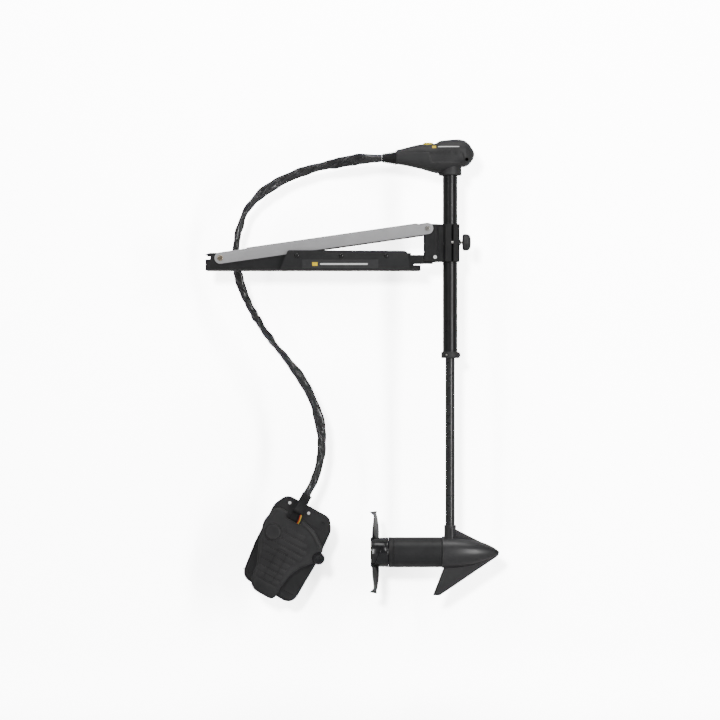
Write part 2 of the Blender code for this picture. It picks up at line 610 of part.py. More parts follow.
def blade(turn):
    """One blade: sections along its radius, twisted and raked, standing at an angle."""
    sections = []
    spans = 8
    for i in range(spans + 1):
        t = i / spans
        radius = BLADE_ROOT_R + (PROP_R - BLADE_ROOT_R) * t
        chord = 38.0 + 70.0 * t - 52.0 * t ** 2
        pitch = math.radians(35.0 - 28.0 * t ** 0.7)
        thick = 6.0 - 3.0 * t
        rake = -7.0 * max(0.0, t - 0.8) / 0.2
        ring = []
        for x, y in ((-0.5, 0), (-0.3, 0.5), (0.1, 0.6), (0.5, 0.1), (0.5, -0.1), (0.1, -0.6), (-0.3, -0.5)):
            across, deep = chord * x, thick * y
            ring.append((across * math.cos(pitch) - deep * math.sin(pitch),
                         across * math.sin(pitch) + deep * math.cos(pitch) + rake, radius))
        sections.append([Matrix.Rotation(turn, 3, "X") @ Vector((along, across, height))
                         for across, along, height in ring])
    bm = loft(sections)
    bmesh.ops.translate(bm, verts=bm.verts, vec=(SHAFT_X + BLADE_X, 0, MOTOR_Z))
    return bm


def make_propeller(mats, origin, centre, pin_x):
    hub = [(r, SHAFT_X + x) for r, x in (
        (5.1, -189), (HUB_R - 1.5, -189), (HUB_R, -190.5), (HUB_R, -241), (HUB_R - 1.5, -243),
        (HUB_R - 5, -243), (HUB_R - 5, -206), (15, -206), (15, -225.5), (5.1, -225.5))]
    prop = place("propeller", turned(hub, "x", centre, 32), mats["prop_plastic"], origin)
    for turn in (0.0, math.pi):
        boolean(prop, blade(turn), "UNION")
    slot = (-3.0, 3.0)
    boolean(prop, block((pin_x - 3, pin_x + 30), slot, (MOTOR_Z - 12, MOTOR_Z + 12)))


# ---------------------------------------------------------------- pedal

def make_pedal(mats):
    plastic = mats["black_plastic"]
    outline = rounded([(-84, -148, 38), (100, -148, 38), (103, 0, 60), (97, 112, 34), (74, 147, 26),
                       (-78, 147, 30), (-99, 100, 40), (-95, -30, 60)])
    base = place("pedal_base", to_pedal(prism(outline, "z", *BASE_PLATE)), plastic)
    for side in (-1, 1):
        ear = sorted((side * 42.0, side * 50.0))
        lug = rounded([(ROCK_U - 18, BASE_PLATE[1] - 2, 0), (ROCK_U + 18, BASE_PLATE[1] - 2, 0),
                       (ROCK_U + 9, 9, 9), (ROCK_U - 9, 9, 9)])
        boolean(base, to_pedal(prism(lug, "x", *ear)), "UNION")
    boolean(base, to_pedal(rod("x", (ROCK_U, 0), 4.3, -60, 60, sides=16)))
    for v, u in ((61, 119), (-58, 125), (8, 125)):
        boolean(base, to_pedal(rod("z", (v, u), 3.0, -50, -20, sides=12)))

    axis_point = pedal_point(0, ROCK_U, 0)
    outline = rounded([(-103, 45, 60), (-88, 103, 30), (-50, 101, 4), (-50, 84, 8), (3, 84, 8), (3, 101, 4),
                       (52, 88, 30), (102, 52, 20), (98, -14, 10), (60, -48, 40), (50, -105, 60),
                       (46, -169, 44), (-56, -169, 46), (-68, -95, 60)])
    treadle = place("treadle", to_pedal(prism(outline, "z", *TREADLE_PLATE)), plastic, axis_point)
    boolean(treadle, to_pedal(rod("x", (ROCK_U, 0), 9.0, -40, 40, sides=20)), "UNION")
    boolean(treadle, to_pedal(block((-38, 38), (ROCK_U - 6, ROCK_U + 6), (0, 15))), "UNION")
    boolean(treadle, to_pedal(rod("z", BUTTON_AT, 28.5, 2, 15, sides=32)), "UNION")
    boolean(treadle, to_pedal(rod("z", BUTTON_AT, BUTTON_R + 0.5, 4, 40, sides=32)))
    boolean(treadle, to_pedal(rod("z", DIAL_AT, DIAL_R + 1.2, 14, 40, sides=24)))
    boolean(treadle, to_pedal(rod("x", (ROCK_U, 0), 4.3, -60, 60, sides=16)))
    place("pedal_pivot_pin", to_pedal(rod("x", (ROCK_U, 0), 4.0, -51, 51, sides=16)), mats["steel"])

    cap = solid_profile((BUTTON_R, 13.5), (BUTTON_R, 23), (BUTTON_R - 2, 24.5), (8, 25))
    place("momentary_button", to_pedal(turned(cap, "z", BUTTON_AT, 32)), plastic, pedal_point(*BUTTON_AT, 0))
    v, u = BUTTON_AT
    place("microswitch", to_pedal(block((v - 10, v + 10), (u - 5, u + 5), (4.3, 9))), mats["magnet"],
          axis_point)
    knurl = []
    for i in range(36):
        a = 2 * math.pi * i / 36
        radius = DIAL_R - 0.9 * (i % 2)
        knurl.append((DIAL_AT[0] + radius * math.cos(a), DIAL_AT[1] + radius * math.sin(a)))
    place("speed_dial", to_pedal(prism(knurl, "z", 14.3, 27)), plastic, pedal_point(*DIAL_AT, 0))

    boot = [[(BOOT_V + w / 2 * sx, u, (-21 + h / 2 * sz)) for sx, sz in
             ((-1, -0.7), (-0.8, -1), (0.8, -1), (1, -0.7), (1, 0.7), (0.8, 1), (-0.8, 1), (-1, 0.7))]
            for u, w, h in ((BOOT_U[0], 34, 25), (BOOT_U[0] + 20, 34, 25), (BOOT_U[1] - 6, 31, 25),
                            (BOOT_U[1], 28, 23))]
    place("cable_boot", to_pedal(loft(boot)), mats["rubber"])
    tail = block((BOOT_V - 13, BOOT_V + 13), (60, BOOT_U[0] - GAP), (BASE_PLATE[1] + GAP, -29))
    place("cable_tail", to_pedal(tail), mats["rubber"])


# ---------------------------------------------------------------- cable

# Hand-chosen points of the cable, from the head's strain relief to the pedal's boot
CORD_ROUTE = (
    (211.7, 0, 343), (188, 0, 343), (163.7, 0.5, 342.8), (130, 10, 340), (93, 30, 335), (55, 48, 329),
    (17, 61, 322), (-21, 70, 312), (-56, 76, 300), (-80, 79, 288), (-109, 81, 273), (-137, 82, 255),
    (-166, 83, 233), (-189, 83, 210), (-208, 83, 181), (-224, 83, 146), (-234, 83, 110), (-238, 83, 77),
    (-237, 83, 43), (-230, 83, -16), (-216, 83, -61), (-196, 82, -106), (-167, 79, -157), (-133, 74, -206),
    (-99, 67, -248), (-69, 60, -285), (-37, 51, -328), (-10, 42, -375), (11, 33, -430), (22, 27, -486),
    (24, 23, -532), (20, 21, -577), (12, 21, -611))


def cord_points():
    """Even points on a smooth curve through the route, ending square to the boot."""
    end = pedal_point(BOOT_V, BOOT_U[1] + GAP, -21)
    route = [Vector(p) for p in CORD_ROUTE] + [end + PEDAL_TOE * CORD_STEP, end]
    before = [route[0] * 2 - route[1]] + route + [end - PEDAL_TOE * 30]
    dense = []
    for p0, p1, p2, p3 in zip(before, before[1:], before[2:], before[3:]):
        for k in range(12):
            t = k / 12
            dense.append(0.5 * (2 * p1 + (p2 - p0) * t + (2 * p0 - 5 * p1 + 4 * p2 - p3) * t ** 2
                                + (3 * p1 - p0 - 3 * p2 + p3) * t ** 3))
    dense.append(end)
    lengths = [0.0]
    for a, b in zip(dense, dense[1:]):
        lengths.append(lengths[-1] + (b - a).length)
    count = round(lengths[-1] / CORD_STEP)
    points = []
    for i in range(count + 1):
        want = lengths[-1] * i / count
        j = max(k for k in range(len(lengths)) if lengths[k] <= want + 1e-6)
        if j == len(lengths) - 1:
            points.append(dense[-1])
            continue
        t = (want - lengths[j]) / (lengths[j + 1] - lengths[j])
        points.append(dense[j].lerp(dense[j + 1], t))
    print("cord length in metres: %.4f" % (lengths[-1] * MM))
    return points


def make_cord(mats):
    curve = bpy.data.curves.new("steering_cord", "CURVE")
    curve.dimensions = "3D"
    curve.bevel_depth = CORD_R * MM
    curve.bevel_resolution = 3
    curve.use_fill_caps = True
    points = cord_points()
    spline = curve.splines.new("POLY")
    spline.points.add(len(points) - 1)
    for spot, point in zip(spline.points, points):
        spot.co = (*(point * MM), 1)
    curve.materials.append(mats["rubber"])
    obj = bpy.data.objects.new("steering_cord", curve)
    bpy.context.scene.collection.objects.link(obj)


def main():
    clear_scene()
    mats = make_materials()
    make_base(mats)
    make_covers(mats)
    make_arm(mats)
    make_bracket(mats)
    make_column(mats)
    make_gears(mats)
    make_head(mats)
    make_lower_unit(mats)
    make_rotor(mats)
    make_pedal(mats)
    make_cord(mats)


main()
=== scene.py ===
import json
import math

import bmesh
import bpy
from mathutils import Matrix, Vector


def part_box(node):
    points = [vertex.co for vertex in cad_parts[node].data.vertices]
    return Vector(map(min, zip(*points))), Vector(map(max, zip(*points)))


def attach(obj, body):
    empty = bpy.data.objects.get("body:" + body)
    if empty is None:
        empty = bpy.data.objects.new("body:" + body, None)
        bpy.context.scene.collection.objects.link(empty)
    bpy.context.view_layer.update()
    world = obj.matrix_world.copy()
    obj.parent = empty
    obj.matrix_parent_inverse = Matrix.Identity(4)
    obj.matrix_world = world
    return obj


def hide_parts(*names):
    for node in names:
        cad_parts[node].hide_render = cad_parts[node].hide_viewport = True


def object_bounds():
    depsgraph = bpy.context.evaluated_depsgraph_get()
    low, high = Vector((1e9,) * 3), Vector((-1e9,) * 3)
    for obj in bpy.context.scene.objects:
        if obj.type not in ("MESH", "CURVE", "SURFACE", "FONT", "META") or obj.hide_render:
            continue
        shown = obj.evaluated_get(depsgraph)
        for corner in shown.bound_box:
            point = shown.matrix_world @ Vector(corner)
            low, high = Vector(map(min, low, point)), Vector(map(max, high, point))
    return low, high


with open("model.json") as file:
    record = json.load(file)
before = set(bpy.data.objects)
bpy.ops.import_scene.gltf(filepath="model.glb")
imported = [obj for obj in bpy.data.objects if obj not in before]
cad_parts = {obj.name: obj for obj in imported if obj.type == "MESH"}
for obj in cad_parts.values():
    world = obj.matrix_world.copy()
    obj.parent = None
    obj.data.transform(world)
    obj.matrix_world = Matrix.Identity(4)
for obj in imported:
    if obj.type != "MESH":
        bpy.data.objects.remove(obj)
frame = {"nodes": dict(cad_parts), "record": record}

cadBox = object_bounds()
mm = 0.001
deg = math.radians(1)
# millimetres within which drawn points are one
mergeGap = 1e-3


def middle(node):
    # centre of a frame solid in millimetres
    low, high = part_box(node)
    return [round(v / mm, 2) for v in (low + high) / 2]


def mirrored(sign, near, far):
    # a span on either side of the middle plane, low end first
    return sorted((sign * near, sign * far))


def newVerts(geom):
    return [v for v in geom if isinstance(v, bmesh.types.BMVert)]


def basis(axis):
    # columns: outline x, outline y, way of extrusion
    if axis == "x":
        return Matrix(((0, 0, 1), (1, 0, 0), (0, 1, 0))).to_4x4()
    if axis == "y":
        return Matrix(((1, 0, 0), (0, 0, 1), (0, 1, 0))).to_4x4()
    return Matrix.Identity(4)


def slab(points, axis, low, high):
    # closed outline pushed from low to high along an axis
    bm = bmesh.new()
    turn = basis(axis)
    ring = [bm.verts.new(turn @ Vector((x, y, low))) for x, y in points]
    face = bm.faces.new(ring)
    pushed = bmesh.ops.extrude_face_region(bm, geom=[face])["geom"]
    bmesh.ops.translate(bm, verts=newVerts(pushed), vec=turn @ Vector((0, 0, high - low)))
    bmesh.ops.recalc_face_normals(bm, faces=bm.faces)
    return bm


def block(x, y, z):
    return slab([(x[0], y[0]), (x[1], y[0]), (x[1], y[1]), (x[0], y[1])], "z", z[0], z[1])


def bar(axis, centre, radius, low, high, sides=32):
    points = [(centre[0] + radius * math.cos(2 * math.pi * i / sides),
               centre[1] + radius * math.sin(2 * math.pi * i / sides)) for i in range(sides)]
    return slab(points, axis, low, high)


def lathe(profile, axis, centre, steps=64):
    # (radius, along) line spun into a closed body; ends on the axis are closed
    bm = bmesh.new()
    verts = [bm.verts.new((r, 0, h)) for r, h in profile]
    edges = [bm.edges.new(pair) for pair in zip(verts, verts[1:])]
    if profile[0][0] > 0:
        edges.append(bm.edges.new((verts[-1], verts[0])))
    bmesh.ops.spin(bm, geom=verts + edges, cent=(0, 0, 0), axis=(0, 0, 1), angle=2 * math.pi,
                   steps=steps, use_merge=True)
    bmesh.ops.remove_doubles(bm, verts=bm.verts[:], dist=mergeGap)
    bmesh.ops.delete(bm, geom=[e for e in bm.edges if e.is_wire], context="EDGES")
    turn = basis(axis)
    turn.translation = turn @ Vector((centre[0], centre[1], 0))
    bmesh.ops.transform(bm, matrix=turn, verts=bm.verts)
    bmesh.ops.recalc_face_normals(bm, faces=bm.faces)
    return bm


def rounded(corners, steps=6):
    # outline with a soft arc at each (x, y, radius) corner
    points = []
    for i, (x, y, radius) in enumerate(corners):
        here = Vector((x, y))
        toLast = Vector(corners[i - 1][:2]) - here
        toNext = Vector(corners[(i + 1) % len(corners)][:2]) - here
        reach = radius / math.tan(toLast.angle(toNext) / 2)
        reach = min(reach, 0.49 * toLast.length, 0.49 * toNext.length)
        if reach < 1e-5:
            points.append((x, y))
            continue
        start = here + toLast.normalized() * reach
        end = here + toNext.normalized() * reach
        for k in range(steps + 1):
            t = k / steps
            spot = start * (1 - t) ** 2 + here * 2 * t * (1 - t) + end * t ** 2
            points.append((spot.x, spot.y))
    return points


def sweep(around, along, place, merge=mergeGap):
    # a grid wrapped into a tube: place(turn, t) gives each point, ends are filled
    bm = bmesh.new()
    bmesh.ops.create_grid(bm, x_segments=around, y_segments=along, size=0.5, calc_uvs=True)
    uvs = bm.loops.layers.uv.verify()
    for face in bm.faces:
        for loop in face.loops:
            loop[uvs].uv = (loop.vert.co.x + 0.5, loop.vert.co.y + 0.5)
    for v in bm.verts:
        v.co = place((v.co.x + 0.5) * 2 * math.pi, v.co.y + 0.5)
    bmesh.ops.remove_doubles(bm, verts=bm.verts, dist=merge)
    bmesh.ops.holes_fill(bm, edges=[e for e in bm.edges if e.is_boundary], sides=0)
    bmesh.ops.recalc_face_normals(bm, faces=bm.faces)
    return bm


def shoulder(bm, face, radius, steps=6):
    # rounds the rim of a flat face that looks along +z by stepping it up and inwards
    for k in range(steps):
        low, high = 90 * deg * k / steps, 90 * deg * (k + 1) / steps
        inward = radius * (math.cos(low) - math.cos(high))
        rise = radius * (math.sin(high) - math.sin(low))
        pushed = bmesh.ops.extrude_face_region(bm, geom=[face])["geom"]
        bmesh.ops.delete(bm, geom=[face], context="FACES_ONLY")
        face = [f for f in pushed if isinstance(f, bmesh.types.BMFace)][0]
        ring = [loop.vert for loop in face.loops]
        shifts = []
        for i, v in enumerate(ring):
            into = (v.co - ring[i - 1].co).normalized()
            away = (ring[(i + 1) % len(ring)].co - v.co).normalized()
            middle = (into + away).normalized()
            side = Vector((-middle.y, middle.x, 0))
            shifts.append(side * inward / max(middle.dot(away), 0.6))
        if face.normal.z < 0:
            shifts = [-shift for shift in shifts]
        for v, shift in zip(ring, shifts):
            v.co += shift + Vector((0, 0, rise))
        face.normal_update()
    return face


def soften(bm, width, segments=2, minAngle=28, only=None):
    # round every edge sharper than minAngle
    edges = [e for e in bm.edges if len(e.link_faces) == 2 and e.calc_face_angle(0) > minAngle * deg]
    if only:
        edges = [e for e in edges if only(e)]
    bmesh.ops.bevel(bm, geom=edges, offset=width, offset_type="OFFSET", segments=segments,
                    affect="EDGES", profile=0.5, material=-1, clamp_overlap=True)
    return bm


def newMesh(name, bm):
    mesh = bpy.data.meshes.new(name)
    bm.to_mesh(mesh)
    bm.free()
    return mesh


def newObject(name, data):
    obj = bpy.data.objects.new(name, data)
    bpy.context.scene.collection.objects.link(obj)
    return obj


def bake(obj):
    # apply the modifiers of a piece to its mesh
    graph = bpy.context.evaluated_depsgraph_get()
    mesh = bpy.data.meshes.new_from_object(obj.evaluated_get(graph))
    old = obj.data
    obj.modifiers.clear()
    obj.data = mesh
    bpy.data.meshes.remove(old)


def tidyMesh(obj):
    # merges the slivers that a cut can leave
    bm = bmesh.new()
    bm.from_mesh(obj.data)
    bmesh.ops.remove_doubles(bm, verts=bm.verts, dist=4e-6)
    bmesh.ops.dissolve_degenerate(bm, edges=bm.edges, dist=2e-6)
    bmesh.ops.delete(bm, geom=[e for e in bm.edges if e.is_wire], context="EDGES")
    bmesh.ops.holes_fill(bm, edges=[e for e in bm.edges if e.is_boundary], sides=0)
    bm.to_mesh(obj.data)
    bm.free()


def combine(obj, bm, operation="DIFFERENCE"):
    # cut a shape from a piece, or weld it on
    bmesh.ops.scale(bm, vec=(mm, mm, mm), verts=bm.verts)
    mesh = newMesh("helperMesh", bm)
    helper = newObject("helper", mesh)
    mod = obj.modifiers.new("combine", "BOOLEAN")
    mod.operation = operation
    mod.solver = "EXACT"
    mod.object = helper
    bake(obj)
    bpy.data.objects.remove(helper)
    bpy.data.meshes.remove(mesh)


def piece(name, bm, look, body, nodes=(), slot=None, sharp=32, unit=mm):
    # pieces are drawn in millimetres and scaled here
    bmesh.ops.scale(bm, vec=(unit, unit, unit), verts=bm.verts)
    obj = newObject(name, newMesh(name, bm))
    obj.data.materials.append(mats[look])
    obj["sharpAngle"] = sharp
    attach(obj, body)
    if nodes:
        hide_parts(*nodes)
    return obj


def shade(obj):
    # smooth shading that keeps the hard edges
    tidyMesh(obj)
    obj.data.shade_smooth()
    obj.data.set_sharp_from_angle(angle=obj["sharpAngle"] * deg)


def link(tree, source, target):
    tree.links.new(source, target)


def newMaterial(name):
    mat = bpy.data.materials.new(name)
    mat.use_nodes = True
    return mat, mat.node_tree, mat.node_tree.nodes["Principled BSDF"]


def shaderNode(tree, kind, **values):
    # an underscore stands for the space in a socket's name
    fresh = tree.nodes.new("ShaderNode" + kind)
    for name, value in values.items():
        fresh.inputs[name.replace("_", " ")].default_value = value
    return fresh


def objectNoise(tree, scale, detail=4.0, rough=0.55, stretch=(1, 1, 1)):
    coords = shaderNode(tree, "TexCoord")
    mapping = shaderNode(tree, "Mapping", Scale=stretch)
    link(tree, coords.outputs["Object"], mapping.inputs["Vector"])
    tex = shaderNode(tree, "TexNoise", Scale=scale, Detail=detail, Roughness=rough)
    link(tree, mapping.outputs["Vector"], tex.inputs["Vector"])
    return tex.outputs["Fac"]


def ramp(tree, source, low, high, fromTo=(0.3, 0.7)):
    scaled = shaderNode(tree, "MapRange", From_Min=fromTo[0], From_Max=fromTo[1], To_Min=low, To_Max=high)
    link(tree, source, scaled.inputs["Value"])
    return scaled.outputs["Result"]


def addBump(tree, shader, height, strength, distance, under=None):
    bumped = shaderNode(tree, "Bump", Strength=strength, Distance=distance)
    link(tree, height, bumped.inputs["Height"])
    if under:
        link(tree, under, bumped.inputs["Normal"])
    link(tree, bumped.outputs["Normal"], shader.inputs["Normal"])
    return bumped.outputs["Normal"]


def tint(tree, shader, factor, dark, light):
    mix = shaderNode(tree, "Mix")
    mix.data_type = "RGBA"
    mix.inputs[6].default_value = (*dark, 1)
    mix.inputs[7].default_value = (*light, 1)
    link(tree, factor, mix.inputs[0])
    link(tree, mix.outputs[2], shader.inputs["Base Color"])


mats = {}


def surface(name, dark, light, drift, rough, grain, bump, depth, metal=0.0, coat=0.0, coatRough=0.1,
            specular=0.5, stretch=(1, 1, 1)):
    # one finish: broad colour drift, roughness drift, fine grain in the bump, whose depth is in metres
    mat, tree, shader = newMaterial(name)
    broad = objectNoise(tree, drift, 5)
    tint(tree, shader, ramp(tree, broad, 0, 1), dark, light)
    wear = objectNoise(tree, drift * 4, 6, 0.65)
    link(tree, ramp(tree, wear, *rough), shader.inputs["Roughness"])
    addBump(tree, shader, objectNoise(tree, grain, 3, 0.6, stretch), bump, depth)
    for socket, value in (("Metallic", metal), ("Coat Weight", coat), ("Coat Roughness", coatRough),
                          ("Specular IOR Level", specular)):
        shader.inputs[socket].default_value = value
    mats[name] = mat


def shades(dark, light, blue):
    # a dark and a light grey, both slightly cold
    return (dark, dark, dark + blue), (light, light, light + blue)


# two colours, scale of their drift, roughness range, scale of the grain, bump and its depth
surface("powderBlack", *shades(0.0088, 0.0143, 0.00055), 14, (0.34, 0.46), 1500, 0.25, 0.0002)
surface("tubeBlack", *shades(0.0077, 0.0121, 0.00055), 9, (0.26, 0.36), 1700, 0.14, 0.0002)
surface("shaftBlack", *shades(0.018, 0.026, 0.001), 9, (0.24, 0.32), 1700, 0.02, 0.0001, coat=0.5,
        coatRough=0.22)
surface("nosePaint", *shades(0.02, 0.028, 0.001), 12, (0.34, 0.44), 1400, 0.2, 0.0002, coat=0.45,
        coatRough=0.3)
surface("motorBlack", *shades(0.0114, 0.018, 0.0006), 12, (0.4, 0.52), 1300, 0.28, 0.0002)
surface("headPlastic", *shades(0.0204, 0.03, 0.0006), 16, (0.46, 0.58), 1100, 0.35, 0.00025)
surface("coverPlastic", *shades(0.0099, 0.0165, 0.00055), 12, (0.38, 0.52), 1200, 0.3, 0.00025)
surface("pedalPlastic", *shades(0.0144, 0.0252, 0.0006), 18, (0.42, 0.58), 1000, 0.4, 0.0003)
surface("bootRubber", (0.0055, 0.0055, 0.006), (0.01, 0.0098, 0.0098), 25, (0.5, 0.66), 900, 0.35, 0.0003)
surface("armGrey", *shades(0.36, 0.432, 0.0072), 7, (0.36, 0.48), 900, 0.12, 0.0002, metal=0.25,
        stretch=(0.05, 1, 1))
surface("plated", (0.55, 0.53, 0.48), (0.72, 0.7, 0.66), 60, (0.2, 0.36), 1500, 0.1, 0.0001, metal=1.0)
surface("brassTint", (0.62, 0.5, 0.36), (0.8, 0.7, 0.56), 80, (0.18, 0.32), 1500, 0.1, 0.0001, metal=1.0)
surface("whiteNylon", *shades(0.66, 0.8, -0.01), 60, (0.34, 0.46), 1200, 0.15, 0.0001)
surface("blackScrew", *shades(0.0066, 0.0132, 0.00055), 50, (0.2, 0.3), 1500, 0.12, 0.0001)
surface("propGloss", *shades(0.007, 0.012, 0.001), 20, (0.2, 0.28), 900, 0.05, 0.0002, specular=0.4,
        coat=0.4, coatRough=0.08)
surface("yellowGloss", (0.7, 0.52, 0.002), (0.8, 0.62, 0.004), 40, (0.22, 0.34), 900, 0.06, 0.0001, coat=0.3)
surface("labelGrey", *shades(0.03, 0.04, 0.001), 25, (0.28, 0.36), 1600, 0.08, 0.0001)
surface("paleMark", *shades(0.62, 0.74, 0.0), 90, (0.4, 0.5), 1600, 0.05, 0.0001)
surface("yellowMark", (0.7, 0.48, 0.005), (0.82, 0.58, 0.01), 90, (0.4, 0.5), 1600, 0.05, 0.0001)
surface("laminations", *shades(0.08, 0.16, 0.005), 60, (0.4, 0.6), 900, 0.3, 0.0002, stretch=(3, 0.1, 0.1))
surface("copperBars", (0.55, 0.24, 0.11), (0.78, 0.38, 0.2), 60, (0.25, 0.4), 900, 0.1, 0.0001, metal=1.0)
surface("wireRed", (0.45, 0.02, 0.015), (0.6, 0.04, 0.03), 60, (0.3, 0.4), 1200, 0.05, 0.0001)
surface("wireOrange", (0.6, 0.22, 0.02), (0.75, 0.3, 0.04), 60, (0.3, 0.4), 1200, 0.05, 0.0001)
surface("wireYellow", (0.62, 0.5, 0.05), (0.78, 0.64, 0.1), 60, (0.3, 0.4), 1200, 0.05, 0.0001)


def sleeveMaterial():
    # glossy film-like sleeve over a bundle: fine braid along the cable's own UVs, long creases
    mat, tree, shader = newMaterial("cableSleeve")
    coords = shaderNode(tree, "TexCoord")
    heights = []
    for turns in (22, -22):
        mapping = shaderNode(tree, "Mapping", Scale=(turns, 330, 1))
        link(tree, coords.outputs["UV"], mapping.inputs["Vector"])
        wave = shaderNode(tree, "TexWave", Scale=0.5)
        wave.bands_direction = "DIAGONAL"
        link(tree, mapping.outputs["Vector"], wave.inputs["Vector"])
        heights.append(wave.outputs["Fac"])
    weave = shaderNode(tree, "Math")
    weave.operation = "MAXIMUM"
    link(tree, heights[0], weave.inputs[0])
    link(tree, heights[1], weave.inputs[1])
    creases = objectNoise(tree, 95, 5, 0.62)
    first = addBump(tree, shader, creases, 0.85, 0.0030)
    addBump(tree, shader, weave.outputs[0], 0.22, 0.0003, first)
    tint(tree, shader, ramp(tree, weave.outputs[0], 0, 1, (0.4, 1.0)), (0.010, 0.010, 0.011),
         (0.022, 0.022, 0.023))
    rough = ramp(tree, objectNoise(tree, 60, 5), 0.16, 0.32)
    link(tree, rough, shader.inputs["Roughness"])
    shader.inputs["Coat Weight"].default_value = 0.8
    shader.inputs["Coat Roughness"].default_value = 0.1
    return mat


mats["cableSleeve"] = sleeveMaterial()
print("materials ready")


studio = {
    "aim": Vector((0.1448, 0.0, -0.2728)), "distance": 7.0, "frameWidth": 2.200, "wallAt": 0.30,
    "wall": 0.5, "wallSeen": 9.5, "keyPower": 230.0, "stripPower": 150.0, "topPower": 60.0, "world": 0.16,
}


def backdropMaterial(spec):
    # overexposed paper that reflects plain light onto the object and is clear from behind
    mat, tree, shader = newMaterial("backdropPaper")
    tree.nodes.remove(shader)
    plain, bright = [shaderNode(tree, "BsdfDiffuse", Color=(tone, tone, tone, 1))
                     for tone in (spec["wall"], spec["wallSeen"])]
    path = shaderNode(tree, "LightPath")
    seen = shaderNode(tree, "MixShader")
    link(tree, path.outputs["Is Camera Ray"], seen.inputs[0])
    link(tree, plain.outputs[0], seen.inputs[1])
    link(tree, bright.outputs[0], seen.inputs[2])
    clear = shaderNode(tree, "BsdfTransparent")
    geometry = shaderNode(tree, "NewGeometry")
    mix = shaderNode(tree, "MixShader")
    link(tree, geometry.outputs["Backfacing"], mix.inputs[0])
    link(tree, seen.outputs[0], mix.inputs[1])
    link(tree, clear.outputs[0], mix.inputs[2])
    link(tree, mix.outputs[0], tree.nodes["Material Output"].inputs["Surface"])
    return mat


def makeStudio(spec):
    cam = bpy.data.cameras.new("camera")
    cam.sensor_width = 36.0
    cam.lens = 36.0 * spec["distance"] / spec["frameWidth"]
    camObj = newObject("camera", cam)
    camObj.location = spec["aim"] + Vector((0, -spec["distance"], 0))
    camObj.rotation_euler = (90 * deg, 0, 0)
    bpy.context.scene.camera = camObj

    world = bpy.data.worlds.new("studioWorld")
    world.use_nodes = True
    world.node_tree.nodes["Background"].inputs["Color"].default_value = (1, 1, 1, 1)
    world.node_tree.nodes["Background"].inputs["Strength"].default_value = spec["world"]
    bpy.context.scene.world = world

    def light(name, place, size, power):
        data = bpy.data.lights.new(name, "AREA")
        data.shape = "RECTANGLE"
        data.size, data.size_y = size
        data.energy = power
        obj = newObject(name, data)
        obj.location = place
        obj.rotation_euler = (spec["aim"] - place).to_track_quat("-Z", "Y").to_euler()
        return obj

    aim = spec["aim"]
    # the key throws the soft shadow but leaves no glare on flat faces
    key = light("keyLight", aim + Vector((-0.62, -6.7, 0.85)), (0.42, 0.42), spec["keyPower"])
    key.visible_glossy = False
    light("rightStrip", aim + Vector((3.2, -5.0, 0.3)), (0.55, 3.6), spec["stripPower"])
    light("topBox", aim + Vector((0.2, -1.4, 3.6)), (3.2, 1.4), spec["topPower"])
    light("leftStrip", aim + Vector((-2.6, -5.2, 2.4)), (0.35, 2.6), spec["topPower"] * 0.8)

    # pale floor that curves up into a wall just behind the object
    back, drop, bend = spec["wallAt"], cadBox[0].z - 0.42, 0.25
    bm = bmesh.new()
    line = [(-5.0, drop), (back - bend, drop)]
    line += [(back - bend + bend * math.sin(a * deg), drop + bend - bend * math.cos(a * deg))
             for a in (15, 30, 45, 60, 75, 90)]
    line += [(back, 3.5)]
    verts = [bm.verts.new((-6, y, z)) for y, z in line]
    edges = [bm.edges.new(pair) for pair in zip(verts, verts[1:])]
    pushed = bmesh.ops.extrude_edge_only(bm, edges=edges)["geom"]
    bmesh.ops.translate(bm, verts=newVerts(pushed), vec=(12, 0, 0))
    wall = newObject("backdrop", newMesh("backdrop", bm))
    wall.data.shade_smooth()
    wall.data.materials.append(backdropMaterial(spec))


makeStudio(studio)
print("studio ready")


pedalAxes = {"centre": Vector((-80.0, 0.0, -849.0)), "toe": Vector((0.480, 0.0, 0.877)).normalized(),
             "up": Vector((0.0, -1.0, 0.0))}
pedalAxes["side"] = pedalAxes["toe"].cross(pedalAxes["up"]).normalized()


def onPedal(v, u, w):
    # metres in the world from the pedal's own millimetres: across, towards the toe, towards the foot
    spot = pedalAxes["centre"] + pedalAxes["side"] * v + pedalAxes["toe"] * u + pedalAxes["up"] * w
    return spot * mm


# the cable's route in metres; the last two points run straight into the boot
cableRoute = [
    (0.2117, 0, 0.343), (0.188, 0, 0.343), (0.1637, 0.0005, 0.3428), (0.130, 0.010, 0.340),
    (0.093, 0.030, 0.335), (0.055, 0.048, 0.329), (0.017, 0.061, 0.322), (-0.021, 0.070, 0.312),
    (-0.056, 0.076, 0.300), (-0.081, 0.079, 0.2895), (-0.1105, 0.081, 0.275), (-0.139, 0.082, 0.257),
    (-0.168, 0.083, 0.235), (-0.191, 0.083, 0.2115), (-0.2105, 0.083, 0.182), (-0.224, 0.083, 0.146),
    (-0.234, 0.083, 0.110), (-0.238, 0.083, 0.077), (-0.237, 0.083, 0.043), (-0.230, 0.083, -0.016),
    (-0.216, 0.083, -0.061), (-0.196, 0.082, -0.106), (-0.167, 0.079, -0.157), (-0.133, 0.074, -0.206),
    (-0.099, 0.067, -0.248), (-0.069, 0.060, -0.285), (-0.037, 0.051, -0.328), (-0.010, 0.042, -0.375),
    (0.0125, 0.033, -0.430), (0.0250, 0.027, -0.486), (0.0275, 0.023, -0.532), (0.0235, 0.021, -0.577),
    (0.0145, 0.021, -0.611)]

# metres, but for the end at the boot, which is in the pedal's own millimetres
cable = {"wide": 0.0148, "thin": 0.0092, "width": 0.028, "widest": 0.0172, "wallSide": 0.0926,
         "mountSide": 0.0594, "tail": 0.048, "rings": 620, "around": 36, "boot": (-25.0, 174.3, -21.0)}


